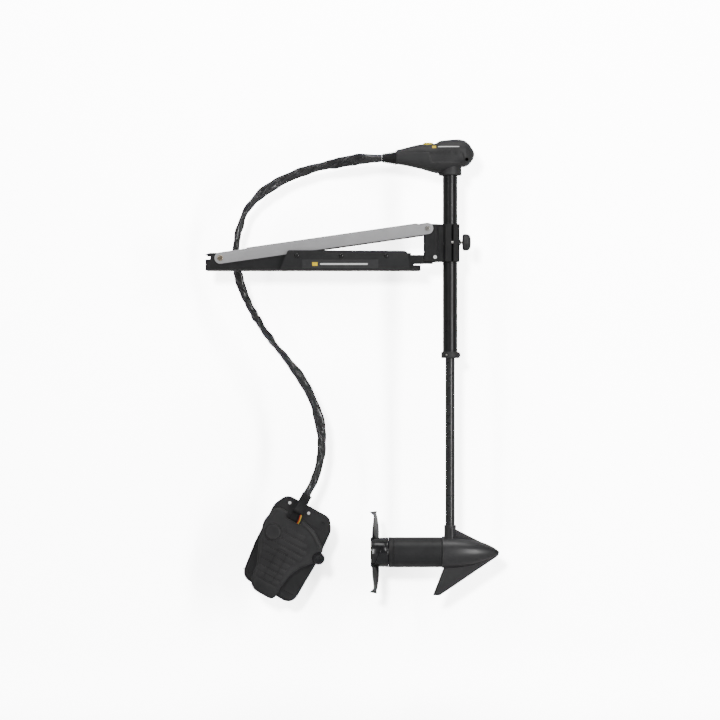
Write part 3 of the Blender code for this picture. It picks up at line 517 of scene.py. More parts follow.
def catmull(p0, p1, p2, p3, t):
    return 0.5 * (2 * p1 + (p2 - p0) * t + (2 * p0 - 5 * p1 + 4 * p2 - p3) * t ** 2
                  + (3 * p1 - p0 - 3 * p2 + p3) * t ** 3)


def smoothLine(route, perSpan=16):
    # smooth curve through the route's points
    points = [Vector(p) for p in route]
    points = [points[0] * 2 - points[1]] + points + [points[-1] * 2 - points[-2]]
    line = []
    for p0, p1, p2, p3 in zip(points, points[1:], points[2:], points[3:]):
        for k in range(perSpan):
            line.append(catmull(p0, p1, p2, p3, k / perSpan))
    line.append(points[-2])
    return line


def onLine(line, t):
    # nearest point and the way the line runs there
    i = min(round(t * (len(line) - 1)), len(line) - 1)
    return line[i], (line[min(i + 1, len(line) - 1)] - line[max(i - 1, 0)]).normalized()


def evenLine(line, count):
    run = [0.0]
    for a, b in zip(line, line[1:]):
        run.append(run[-1] + (b - a).length)
    spots, j = [], 0
    for i in range(count + 1):
        want = run[-1] * i / count
        while j < len(run) - 2 and run[j + 1] < want:
            j += 1
        spots.append(line[j].lerp(line[j + 1], (want - run[j]) / max(run[j + 1] - run[j], 1e-9)))
    return spots, run[-1]


def bump(t, centre, width):
    return math.exp(-((t - centre) / width) ** 2)


def makeCable(spec):
    end = onPedal(*spec["boot"])
    route = cableRoute + [tuple(end + pedalAxes["toe"] * spec["tail"]), tuple(end)]
    centres, length = evenLine(smoothLine(route), spec["rings"])
    tangents = [onLine(centres, i / spec["rings"])[1] for i in range(spec["rings"] + 1)]
    sides = [Vector((0, 1, 0))]
    for tangent in tangents[1:]:
        side = sides[-1] - tangent * sides[-1].dot(tangent)
        sides.append(side.normalized())

    def place(turn, t):
        i = round(t * spec["rings"])
        tangent, side = tangents[i], sides[i]
        other = tangent.cross(side)
        # the flat sleeve slowly twists, shows its flat near the head and its edge further down
        twist = 1.75 + 2.6 * math.sin(5.3 * t + 0.4) + 1.2 * math.sin(17.0 * t + 1.0) + 5.5 * t
        swell = 0.97 + 0.20 * bump(t, 0.075, 0.035) + 0.08 * math.sin(31 * t) + 0.06 * math.sin(67 * t + 2)
        ends = min(1.0, 0.62 + 0.38 * t / 0.03, 0.85 + 0.15 * (1 - t) / 0.03)
        wide = min(spec["wide"] * swell * ends, spec["widest"])
        thin = spec["thin"] * (1 + 0.16 * math.sin(43 * t + 1.3)) * (1.0 + 0.25 * (1 - ends))
        x, y = math.cos(turn), math.sin(turn)
        # pinched edge on one side, and long diagonal creases
        x = math.copysign(abs(x) ** 0.9, x)
        crease = 0.09 * math.sin(3 * turn + 170 * t) + 0.08 * math.sin(2 * turn - 105 * t + 1)
        crease += 0.05 * math.sin(5 * turn + 260 * t + 2)
        across = wide * x * (1 + 0.4 * crease)
        deep = thin * y * (1 + 1.6 * crease)
        c, s = math.cos(twist), math.sin(twist)
        spot = centres[i] + side * (across * c - deep * s) + other * (across * s + deep * c)
        # clear of the wall behind it, and of the mount when the arm lifts
        clear = spec["mountSide"] - 1.5 * max(0.0, 0.0705 - centres[i].y)
        spot.y = max(min(spot.y, spec["wallSide"]), clear)
        return spot

    bm = sweep(spec["around"], spec["rings"], place, 1e-6)
    obj = piece("steeringCable", bm, "cableSleeve", "column", ["steering_cord"], "cable_sleeve", 60, 1)
    shade(obj)
    print("cable", round(length, 3), "m")


makeCable(cable)

shaftX = middle("inner_shaft")[0]
reliefLow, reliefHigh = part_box("strain_relief")
cableZ = middle("strain_relief")[2]
head = {
    "split": 359.4, "gap": 0.06, "wall": 3.0, "power": 2.7, "collar": 35.0, "bore": 22.9, "top": 401.0,
    "cableHole": 11.0, "pointerSeat": 20.3,
    # along the shaft's x, lowest, highest, half width
    "sections": [(-164, 325, 369, 23), (-130, 320, 377, 29), (-93.5, 312, 385.5, 36), (-66, 304, 385.5, 42),
                 (-45.5, 299, 388, 46), (-32, 297, 396, 48), (-10, 302, 399, 49.5), (26.6, 316, 401, 49.5),
                 (46, 317.5, 396, 46), (59, 325, 385, 39), (69, 338, 370, 28), (73.6, 349, 362, 15)],
    "panel": (-60.0, 41.0, 328.0, 356.5, 2.4),
}


def between(t, low, high, edge):
    # 1 inside low..high, 0 outside, with an edge of the given width
    rise = min(max((t - low) / edge + 0.5, 0), 1)
    fall = min(max((high - t) / edge + 0.5, 0), 1)
    return rise * rise * (3 - 2 * rise) * fall * fall * (3 - 2 * fall)


def headSection(x):
    rows = head["sections"]
    x = min(max(x, rows[0][0]), rows[-1][0])
    i = max(k for k in range(len(rows) - 1) if rows[k][0] <= x + 1e-9)
    t = (x - rows[i][0]) / (rows[i + 1][0] - rows[i][0])
    p0, p1, p2, p3 = rows[max(i - 1, 0)], rows[i], rows[i + 1], rows[min(i + 2, len(rows) - 1)]
    # softened straight runs stay inside the straight loft
    out = []
    for k in (1, 2, 3):
        straight = p1[k] + (p2[k] - p1[k]) * t
        curve = catmull(p0[k], p1[k], p2[k], p3[k], t)
        out.append(0.35 * straight + 0.65 * curve)
    return out


def headPoint(turn, t):
    rows = head["sections"]
    # rings crowd towards the blunt end
    x = rows[0][0] + (rows[-1][0] - rows[0][0]) * (1 - (1 - t) ** 1.25)
    low, high, half = headSection(x)
    high = min(high, head["top"])
    c, s = math.cos(turn), math.sin(turn)
    y = math.copysign(abs(c) ** (2 / head["power"]), c) * half
    z = (low + high) / 2 + math.copysign(abs(s) ** (2 / head["power"]), s) * (high - low) / 2
    fromX, toX, fromZ, toZ, depth = head["panel"]
    inset = between(x + (z - 340) * 0.25, fromX, toX, 3.0) * between(z, fromZ, toZ, 2.0) * depth
    # shallow step where the lid overlaps the lower half
    lip = between(z, head["split"] - 1.3, head["split"] + 1.0, 1.0) * 1.1
    y -= math.copysign(min(inset + lip, abs(y)), y)
    return Vector((shaftX + x, y, z))


pointer = {"x": middle("direction_indicator")[0], "base": 376.0, "rim": 384.6}


def makeHead(spec):
    halves = {}
    for name, keepLow in (("headLower", True), ("headLid", False)):
        bm = sweep(144, 150, headPoint)
        plane = spec["split"] + (-spec["gap"] if keepLow else spec["gap"])
        bmesh.ops.bisect_plane(bm, geom=bm.verts[:] + bm.edges[:] + bm.faces[:], plane_co=(0, 0, plane),
                               plane_no=(0, 0, 1), clear_outer=keepLow, clear_inner=not keepLow)
        node = "head_lower_housing" if keepLow else "head_top_cover"
        obj = piece(name, bm, "headPlastic", "column", [node], "black_plastic", 34)
        solid = obj.modifiers.new("wall", "SOLIDIFY")
        solid.thickness = spec["wall"] * mm
        solid.offset = -1
        solid.thickness_clamp = 1.0
        bake(obj)
        halves[name] = obj

    low, lid = halves["headLower"], halves["headLid"]
    bore, collar = spec["bore"], spec["collar"]
    sleeve = lathe([(bore, 291), (collar - 1.2, 291), (collar, 292.2), (collar, 322), (bore, 322)],
                   "z", (shaftX, 0), 96)
    combine(low, sleeve, "UNION")
    combine(low, bar("z", (shaftX, 0), bore, 280, 335, 96))
    for obj in (low, lid):
        combine(obj, bar("x", (0, cableZ), spec["cableHole"], 240, 275, 64))
    hole = lathe([(0, -6), (4.6, -6), (5.6, 4), (0, 4)], "y", (shaftX + 49, 337), 40)
    combine(low, moved(hole, (0, -38.5, 0)))
    # round seat of the pointer
    combine(lid, bar("z", (pointer["x"], 0), spec["pointerSeat"], 370, 400, 96))
    for obj in (low, lid):
        shade(obj)

    # collar's set screw
    screw = lathe([(0, -33.4), (3.0, -33.4), (3.0, -35.2), (2.3, -35.8), (0, -35.8)], "y", (403, 312.0), 24)
    shade(piece("collarSetScrew", screw, "plated", "column", (), "steel"))


def moved(bm, by):
    bmesh.ops.translate(bm, verts=bm.verts, vec=by)
    return bm


makeHead(head)

relief = {"from": round(reliefHigh.x / mm, 2), "to": round(reliefLow.x / mm, 2), "bore": 10.4, "ribs": 7}


def makeRelief(spec):
    # ribbed sleeve round the cable, tapering away from the head
    span = spec["from"] - spec["to"]
    profile = [(spec["bore"], spec["from"]), (21.6, spec["from"])]
    count = spec["ribs"]
    for i in range(count):
        start = i / count
        for share, deep in ((0.0, 1), (0.12, 0), (0.52, 0), (0.64, 1), (0.96, 1)):
            t = start + share / count
            outer = 21.8 - 7.2 * t ** 0.9
            profile.append((outer - (0 if deep == 0 else 2.9), spec["from"] - span * t))
    profile += [(13.0, spec["to"]), (spec["bore"], spec["to"])]
    bm = lathe(profile, "x", (0, cableZ), 72)
    soften(bm, 0.25, 1, 40)
    shade(piece("strainRelief", bm, "bootRubber", "column", ["strain_relief"], "rubber", 45))


makeRelief(relief)


def makePointer(spec):
    # low dome with an arrow raised on it
    base, rim = spec["base"], spec["rim"]
    stem = [(0, 342), (4, 342), (4, base), (19.4, base), (19.4, rim)]
    dome = [(19.0 * math.cos(a * deg), rim + 6.6 * math.sin(a * deg)) for a in range(9, 90, 9)]
    bm = lathe(stem + dome + [(0, 391.2)], "z", (spec["x"], 0), 72)
    arrow = [(-13, -2.6), (3, -2.6), (3, -7.5), (14.5, 0), (3, 7.5), (3, 2.6), (-13, 2.6)]
    arrow = moved(slab(arrow, "z", 385, 391.4), (spec["x"], 0, 0))
    obj = piece("pointerDome", bm, "yellowGloss", "indicator", ["direction_indicator"], "yellow_plastic")
    soften(arrow, 0.5, 2)
    combine(obj, arrow, "UNION")
    shade(obj)


makePointer(pointer)


def headMark(name, look, fromX, toX, fromZ, toZ, steps=20):
    # plain thin skin lying on the lid's near side
    bm = bmesh.new()
    bmesh.ops.create_grid(bm, x_segments=steps, y_segments=6, size=0.5)
    for v in bm.verts:
        x = fromX + (toX - fromX) * (v.co.x + 0.5)
        z = fromZ + (toZ - fromZ) * (v.co.y + 0.5)
        low, high, half = headSection(x)
        reach = min(abs((z - (low + high) / 2) / ((high - low) / 2)), 0.999)
        y = -half * (1 - reach ** head["power"]) ** (1 / head["power"])
        v.co = (shaftX + x, y - 0.12, z)
    bmesh.ops.solidify(bm, geom=bm.faces[:], thickness=0.35)
    bmesh.ops.recalc_face_normals(bm, faces=bm.faces)
    shade(piece(name, bm, look, "column", (), "yellow_plastic"))


headMark("headStripe", "paleMark", -38, 26, 374.0, 376.6)
headMark("headBlock", "yellowMark", -56, -44, 371.5, 379.0, 8)
print("head ready")

column = {"tube": 22.225, "shaft": 14.3}


def makeColumn(spec):
    r = spec["tube"]
    tube = lathe([(r - 3, -262), (r - 0.8, -262), (r, -261.2), (r, 309.4), (r - 0.6, 310), (r - 3, 310)],
                 "z", (shaftX, 0), 112)
    shade(piece("outerTube", tube, "tubeBlack", "column", ["outer_tube"], "coated_metal"))
    r = spec["shaft"]
    shaft = lathe([(r - 2.6, -807), (r - 0.4, -807), (r, -806.4), (r, 339.4), (r - 0.6, 340), (r - 2.6, 340)],
                  "z", (shaftX, 0), 96)
    shade(piece("innerShaft", shaft, "shaftBlack", "lower_unit", ["inner_shaft"], "coated_metal"))

    # split collar under the tube, with an ear for its screw
    ring = lathe([(22.6, -247.5), (24.6, -247.5), (27.0, -249.2), (27.5, -250.6), (27.5, -264.3),
                  (27.0, -265.8), (24.6, -267.4), (14.7, -267.4), (14.7, -262.6), (22.6, -262.6)],
                 "z", (shaftX, 0), 96)
    obj = piece("lowerCollar", ring, "headPlastic", "column", ["lower_collar"], "black_plastic")
    combine(obj, soften(block((443, 450), (-9, 9), (-265.5, -249.5)), 1.0), "UNION")
    shade(obj)
    near = [(0, -25.2), (3.4, -25.2), (3.4, -27.6), (2.6, -28.4), (1.5, -28.4), (1.3, -27.4), (0, -27.4)]
    near = lathe(near, "y", middle("collar_screw_2")[::2], 32)
    side = [(0, 446), (3.5, 446), (3.5, 451.2), (2.7, 452), (1.6, 452), (1.5, 450.9), (0, 450.9)]
    side = lathe(side, "x", middle("collar_screw_1")[1:], 32)
    shade(piece("collarScrewNear", near, "plated", "column", ["collar_screw_2"], "steel"))
    shade(piece("collarScrewSide", side, "plated", "column", ["collar_screw_1"], "steel"))


makeColumn(column)
print("column ready")
slotFinish = {"coated_metal": "powderBlack", "black_plastic": "coverPlastic", "arm_metal": "armGrey",
              "steel": "plated", "yellow_plastic": "yellowGloss", "prop_plastic": "propGloss",
              "rubber": "bootRubber", "cable_sleeve": "cableSleeve", "nylon": "whiteNylon",
              "magnet": "laminations", "copper": "copperBars"}
nodeFinish = {"arm_pivot_bolt": "brassTint", "catch_pin": "whiteNylon", "armature": "laminations"}
edgeWidth = {"base_channel": 0.9, "latch_bar": 1.2, "motor_bracket": 1.4, "clamp_jaw": 1.2}


def dressNode(node, slot):
    obj = frame["nodes"][node]
    obj.data.materials.clear()
    obj.data.materials.append(mats[nodeFinish.get(node, slotFinish[slot])])
    weld = obj.modifiers.new("weld", "WELD")
    weld.merge_threshold = 0.00001
    bevel = obj.modifiers.new("bevel", "BEVEL")
    bevel.width = edgeWidth.get(node, 0.35) * mm
    bevel.segments = 2
    bevel.limit_method = "ANGLE"
    bevel.angle_limit = 40 * deg


def dressFrame():
    shown = [n for n, o in frame["nodes"].items() if not o.hide_render]
    slots = {s["node"]: s["material_slot"] for s in frame["record"]["subparts"]}
    for node in shown:
        dressNode(node, slots[node])
    print("dressed", len(shown))


cover = {"outline": [(-98, 1, 0), (295, 1, 2), (292, 30, 0), (290, 58.5, 16), (-74, 60, 9)],
         "in": 46.3, "out": 58.0, "recess": 57.45, "label": (-31, 201, 4.5, 32.5),
         "screws": [middle("cover_screw_%d" % i)[0] for i in (1, 2, 3)], "screwZ": middle("cover_screw_1")[2]}


def makeCover(name, node, sign):
    spec = cover
    outline = rounded(spec["outline"], 8)
    bm = slab(outline, "y", *mirrored(sign, spec["in"], spec["out"]))
    # broad soft bevel round the outer face, except along the foot
    soften(bm, 2.6, 4, 50, lambda e: all(abs(abs(v.co.y) - spec["out"]) < 0.01 for v in e.verts)
           and any(v.co.z > 1.5 for v in e.verts))
    obj = piece(name, bm, "coverPlastic", "deck_mount", [node], "black_plastic", 50)
    fromX, toX, fromZ, toZ = spec["label"]
    plate = soften(block((fromX, toX), (sign * spec["recess"], sign * 60), (fromZ, toZ)), 0.2, 1)
    combine(obj, plate)
    hollow = rounded([(-90, -2, 0), (289, -2, 0), (286, 54, 14), (-70, 56, 8)])
    combine(obj, slab(hollow, "y", *mirrored(sign, 46, 55)))
    for x in spec["screws"]:
        combine(obj, bar("y", (x, spec["screwZ"]), 4.0, *mirrored(sign, 40, 70)))
    shade(obj)


def makeDeckMount(spec):
    makeCover("coverNear", "side_cover_near", -1)
    makeCover("coverFar", "side_cover_far", 1)
    fromX, toX, fromZ, toZ = spec["label"]
    inset = 0.4
    label = ((fromX + inset, toX - inset), (fromZ + inset, toZ - inset))
    for sign, tag in ((-1, "Near"), (1, "Far")):
        for name, (x, z), low, high, look, slot in (
                ("coverLabel", label, spec["recess"], 57.75, "labelGrey", "black_plastic"),
                ("labelStripe", ((24, 168), (15.6, 20.6)), 57.7, 57.95, "paleMark", "black_plastic"),
                ("labelBlock", ((0, 16), (12.5, 23.5)), 57.7, 57.95, "yellowMark", "yellow_plastic")):
            plate = block(x, mirrored(sign, low, high), z)
            shade(piece(name + tag, plate, look, "deck_mount", (), slot))
    # low domed screws
    number = 0
    for sign in (-1, 1):
        for x in spec["screws"]:
            number += 1
            dome = [(7.5 * math.cos(a * deg), 58.6 + 3.0 * math.sin(a * deg)) for a in range(0, 76, 15)]
            profile = [(0, 52.0), (2.4, 52.0), (2.4, 58.2), (7.3, 58.2)] + dome + [(0, 61.6)]
            screw = lathe([(r, sign * y) for r, y in profile], "y", (x, spec["screwZ"]), 48)
            node = "cover_screw_%d" % number
            obj = piece("coverScrew%d" % number, screw, "blackScrew", "deck_mount", [node], "steel")
            combine(obj, bar("y", (x, spec["screwZ"]), 2.2, *mirrored(sign, 60.2, 65), sides=6))
            shade(obj)


makeDeckMount(cover)

arm = {"rear": middle("arm_pivot_bolt")[::2], "front": middle("bracket_pivot_bolt")[::2],
       "half": 17.5, "out": 44.0, "in": 41.0}


def makeArm(spec):
    start, end = Vector(spec["rear"]), Vector(spec["front"])
    run = (end - start).normalized()
    lift = Vector((-run.y, run.x))
    length = (end - start).length

    def spot(s, t):
        here = start + run * s + lift * t
        return (here.x, here.y)

    half = spec["half"]
    ring = []
    for along, first in ((length, -90), (0, 90)):
        for i in range(25):
            angle = (first + i * 7.5) * deg
            ring.append(spot(along + half * math.cos(angle), half * math.sin(angle)))
    near = soften(slab(ring, "y", -spec["out"], -spec["in"]), 0.9, 3)
    obj = piece("liftArm", near, "armGrey", "arm", ["lift_arm"], "arm_metal", 40)
    combine(obj, soften(slab(ring, "y", spec["in"], spec["out"]), 0.9, 3), "UNION")
    web = [(78, 14.6), (612, 14.6), (609, 18.5), (604, 20.5), (88, 20.5), (81, 18.5)]
    web = slab([spot(s, t) for s, t in web], "y", -42.5, 42.5)
    combine(obj, soften(web, 1.6, 4, 50), "UNION")
    for pivot in (spec["rear"], spec["front"]):
        combine(obj, bar("y", pivot, 5.3, -60, 60))
    shade(obj)

    for name, node, pivot, radius, body, look in (
            ("armBolt", "arm_pivot_bolt", spec["rear"], 9.0, "deck_mount", "brassTint"),
            ("bracketBolt", "bracket_pivot_bolt", spec["front"], 7.6, "arm", "plated")):
        # a little clear of the arm's plate
        face = spec["out"] + 0.3
        crown = [(radius - 1.6 + 1.6 * math.sin(a * deg), -face - 2.4 - 1.6 * math.cos(a * deg))
                 for a in (90, 60, 30, 0)]
        profile = [(0, face + 8), (5, face + 8), (5, -face), (radius, -face)] + crown + [(0, -face - 4)]
        bolt = piece(name, lathe(profile, "y", pivot, 56), look, body, [node], "steel")
        combine(bolt, bar("y", pivot, 3.4, -face - 6, -face - 1.2, 6))
        shade(bolt)


makeArm(arm)

knob = {"centre": middle("clamp_knob")[1:], "flutes": 14, "dip": 0.8}


def makeKnob(spec):
    # round hand knob with shallow finger flutes
    profile = [(0, 455.5), (9, 455.5), (12, 456), (21, 456.6), (23.6, 458), (25.2, 460.5), (25.4, 463),
               (25.4, 469), (24.8, 473), (23, 476.6), (20, 479.2), (16, 480.8), (10, 481.8), (0, 482)]
    bm = lathe(profile, "x", spec["centre"], 108)
    for v in bm.verts:
        y, z = v.co.y - spec["centre"][0], v.co.z - spec["centre"][1]
        reach = math.hypot(y, z)
        if reach < 20:
            continue
        dip = spec["dip"] * max(0.0, math.cos(spec["flutes"] * math.atan2(z, y))) ** 2
        v.co.y -= dip * y / reach
        v.co.z -= dip * z / reach
    shade(piece("clampKnob", bm, "headPlastic", "knob", ["clamp_knob"], "black_plastic", 50))


makeKnob(knob)
print("mount ready")
motorZ = middle("motor_tube")[2]
nose = {"back": -25.4, "length": 176.4, "radius": 48.5, "neck": 18.5, "neckTop": -777.0,
        "fin": [(14, 40), (14, 69), (20, 69), (146, 6), (149, 0), (60, 10)],
        "skeg": [(-17, -40), (-53, -132), (-31, -132), (144, -13), (149.5, -7), (149.5, -1), (60, -10)]}


def atMotor(points):
    return [(shaftX + x, motorZ + z) for x, z in points]


def makeNose(spec):
    curve = [(spec["radius"] * (1 - math.sin(a * deg) ** 2.2) ** 0.75,
              shaftX + spec["back"] + spec["length"] * math.sin(a * deg)) for a in range(3, 90, 3)]
    back = shaftX + spec["back"]
    profile = [(0, back), (46.6, back), (47.7, back + 0.6), (spec["radius"], back + 2)] + curve
    bm = lathe(profile + [(0, back + spec["length"])], "x", (0, motorZ), 128)
    obj = piece("noseHousing", bm, "nosePaint", "lower_unit", ["nose_housing"], "coated_metal", 30)
    neckTop = spec["neckTop"]
    wide = spec["neck"]
    neck = lathe([(0, -850), (21.5, -850), (20.2, -824), (18.9, -814), (18.2, -806), (18.2, -784),
                  (wide, -783), (wide, neckTop - 1.2), (wide - 1.2, neckTop), (0, neckTop)],
                 "z", (shaftX, 0), 96)
    combine(obj, neck, "UNION")
    # flat boss down the near side of the neck
    boss = lathe([(0, -845), (8.6, -845), (8.0, -786), (6.8, -784.5), (0, -784.5)], "z",
                 (shaftX + 4, -12.6), 40)
    combine(obj, boss, "UNION")
    for outline, thick in ((spec["fin"], 5), (spec["skeg"], 6)):
        points = rounded([(x, z, 2.4) for x, z in atMotor(outline)], 3)
        combine(obj, soften(slab(points, "y", -thick / 2, thick / 2), 1.6, 3, 50), "UNION")
    combine(obj, bar("z", (shaftX, 0), 14.5, -808, -770, 96))
    combine(obj, bar("x", (0, motorZ), 40.0, back - 5, back + 22, 64))
    shade(obj)


makeNose(nose)


def makeMotorCase():
    x = shaftX
    tube = lathe([(43.2, x - 172.7), (45.2, x - 172.7), (46, x - 171.9), (46, x - 26.6), (45.2, x - 25.7),
                  (43.2, x - 25.7)], "x", (0, motorZ), 128)
    shade(piece("motorTube", tube, "motorBlack", "lower_unit", ["motor_tube"], "coated_metal"))
    bell = lathe([(9, x - 188.3), (44.0, x - 188.3), (45.4, x - 187.5), (46, x - 186.2), (46, x - 174),
                  (45.3, x - 173), (38, x - 173), (38, x - 180), (9, x - 180)], "x", (0, motorZ), 128)
    shade(piece("rearBell", bell, "motorBlack", "lower_unit", ["rear_bell"], "coated_metal"))


makeMotorCase()

prop = {"hub": 45.5, "root": 38.0, "tip": 124.5, "bladeX": -228.0, "rings": 72}


def bladePoint(turn, t):
    radius = prop["root"] + (prop["tip"] - prop["root"]) * t
    chord = 38 + 70 * t - 52 * t * t
    # the tip is cut square and turned up into a small winglet
    chord *= 1 - 0.10 * max(0.0, (t - 0.94) / 0.06) ** 3
    pitch = (35 - 28 * t ** 0.7 + 19 * max(0.0, (t - 0.86) / 0.14) ** 1.6) * deg
    thick = 6.4 - 3.4 * t
    c, s = math.cos(turn), math.sin(turn)
    across = chord * 0.5 * c
    # thicker towards the leading edge, thin trailing edge
    deep = thick * 0.62 * s * (1 - 0.35 * c) * (1 - abs(c) ** 5 * 0.4)
    # hollow face
    deep += 1.6 * (c * c - 0.5) * math.sin(math.pi * min(t * 1.1, 1))
    rake = -7.0 * max(0.0, (t - 0.8) / 0.2) ** 1.6
    y = across * math.cos(pitch) - deep * math.sin(pitch)
    x = across * math.sin(pitch) + deep * math.cos(pitch) + rake
    return Vector((shaftX + prop["bladeX"] + x, y, motorZ + radius))


def makePropeller(spec):
    x, r = shaftX, spec["hub"]
    # drum with a bead at each end and a shallow waist
    profile = [(5.1, x - 189), (r - 1.8, x - 189), (r - 0.4, x - 189.8), (r, x - 191), (r, x - 194.5),
               (r - 0.9, x - 196), (r - 0.9, x - 236), (r, x - 237.4), (r, x - 241.2), (r - 0.5, x - 242.4),
               (r - 1.8, x - 243), (r - 5, x - 243), (r - 5, x - 206), (15, x - 206), (15, x - 225.5),
               (5.1, x - 225.5)]
    bm = lathe(profile, "x", (0, motorZ), 128)
    obj = piece("propeller", bm, "propGloss", "rotor", ["propeller"], "prop_plastic", 35)
    around = Matrix.Translation((0, 0, motorZ))
    for turn in (0.0, math.pi):
        blade = sweep(40, spec["rings"], bladePoint)
        spin = around @ Matrix.Rotation(turn, 4, "X") @ around.inverted()
        bmesh.ops.transform(blade, matrix=spin, verts=blade.verts)
        combine(obj, blade, "UNION")
    # slanting weld ridges over the drum, one on each flank
    for turn in (-0.5, 0.5):
        ridge = sweep(14, 30, lambda a, t: Vector((
            x - 232 + 26 * t + 2.6 * math.cos(a) * math.sin(math.pi * (0.03 + 0.94 * t)),
            -(r - 0.6 + 2.6 * math.sin(a)) * math.cos((t - 0.62) * 1.5),
            motorZ + (r - 0.6 + 2.6 * math.sin(a)) * math.sin((t - 0.62) * 1.5))))
        spin = around @ Matrix.Rotation(math.pi * (turn + 0.5), 4, "X") @ around.inverted()
        bmesh.ops.transform(ridge, matrix=spin, verts=ridge.verts)
        combine(obj, ridge, "UNION")
    # slot for the drive pin, open towards the motor
    combine(obj, block((x - 202, x - 172), (-3, 3), (motorZ - 12, motorZ + 12)))
    shade(obj)


makePropeller(prop)
print("motor ready")


pedalMatrix = Matrix([[pedalAxes[way][i] for way in ("side", "toe", "up", "centre")] for i in range(3)]
                     + [(0, 0, 0, 1)])


def toPedal(bm):
    bmesh.ops.transform(bm, matrix=pedalMatrix, verts=bm.verts)
    bmesh.ops.recalc_face_normals(bm, faces=bm.faces)
    return bm


pedalBase = {
    "outline": [(-81, -146, 40), (99, -147, 38), (103, 0, 60), (95, 110, 36), (72, 145, 30), (-77, 145, 34),
                (-99, 100, 40), (-95, -30, 60)],
    "low": -40.0, "high": -34.0, "rim": 3.2, "rock": -32.7,
    "holes": [(61, 119), (-58, 125), (8, 125)],
}


def makePedalBase(spec):
    bm = slab(rounded(spec["outline"], 10), "z", spec["low"], spec["high"])
    soften(bm, 1.4, 3, 50)
    # sunken floor inside a low rim
    top = max(bm.faces, key=lambda f: f.calc_center_median().z * 1000 + f.calc_area())
    bmesh.ops.inset_region(bm, faces=[top], thickness=spec["rim"], depth=0.0, use_even_offset=True)
    bmesh.ops.inset_region(bm, faces=[top], thickness=0.8, depth=-1.5, use_even_offset=True)
    obj = piece("pedalBase", toPedal(bm), "pedalPlastic", "column", ["pedal_base"], "black_plastic", 40)
    # pivot lugs and ribs on the floor
    for sign in (-1, 1):
        lug = slab(rounded([(-17, -36, 0), (17, -36, 0), (9, 7.6, 7), (-9, 7.6, 7)], 5), "x",
                   *mirrored(sign, 42, 50))
        moved(lug, (0, spec["rock"], 0))
        combine(obj, toPedal(soften(lug, 0.8)), "UNION")
    for x, y, z in (((-92, 92), (96.8, 99.2), (-37, -34.3)), ((-88, 88), (-121.2, -118.8), (-37, -34.3)),
                    ((-85.2, -82.8), (-100, 94), (-37.4, -34.6)), ((88.8, 91.2), (-100, 94), (-37.4, -34.6))):
        combine(obj, toPedal(soften(block(x, y, z), 0.4, 1)), "UNION")
    for x, y in spec["holes"]:
        ring = lathe([(0, -38), (6.2, -38), (6.2, -34.6), (5.6, -34.0), (0, -34.0)], "z", (x, y), 32)
        combine(obj, toPedal(ring), "UNION")
        combine(obj, toPedal(bar("z", (x, y), 3.4, -39.3, -30)))
    pin = bar("x", (spec["rock"], 0), 4.3, -60, 60)
    combine(obj, toPedal(pin))
    shade(obj)
    # screws in two of the three holes
    for i, (x, y) in enumerate(spec["holes"][1:]):
        dome = [(5.0 * math.cos(a * deg), -33.6 + 2.2 * math.sin(a * deg)) for a in range(0, 76, 15)]
        profile = [(0, -38), (2.4, -38), (2.4, -33.8), (4.8, -33.8)] + dome + [(0, -31.4)]
        screw = lathe(profile, "z", (x, y), 40)
        slot = block((x - 3.6, x + 3.6), (y - 0.5, y + 0.5), (-32.2, -30))
        obj = piece("pedalScrew%d" % (i + 1), toPedal(screw), "whiteNylon", "column", (), "steel")
        combine(obj, toPedal(slot))
        shade(obj)


makePedalBase(pedalBase)

treadle = {
    "outline": [(-103, 46, 60), (-88, 103, 30), (3, 101, 20), (52, 88, 30), (102, 52, 20), (97, 6, 9),
                (66, -30, 36), (49, -64, 50), (41, -112, 60), (42, -157, 43), (-47, -157, 43), (-57, -82, 60),
                (-89, -10, 50)],
    "notch": [(-50, 130, 0), (-50, 84, 8), (3, 84, 8), (3, 130, 0)],
    "low": 12.0, "high": 22.0, "shoulder": 6.0, "button": (-60.5, 26.0), "dial": (100.8, 22.0),
    # raised bars: low u, high u, left v, right v
    "bars": [(44, 62, -30, 34), (24, 42, -30, 52), (4, 22, -36, 60), (-16, 2, -77, 56), (-36, -18, -68, 44),
             (-56, -38, -60, 35), (-76, -58, -52, 31), (-95, -78, -47, 31), (-113, -97, -44, 31)],
}


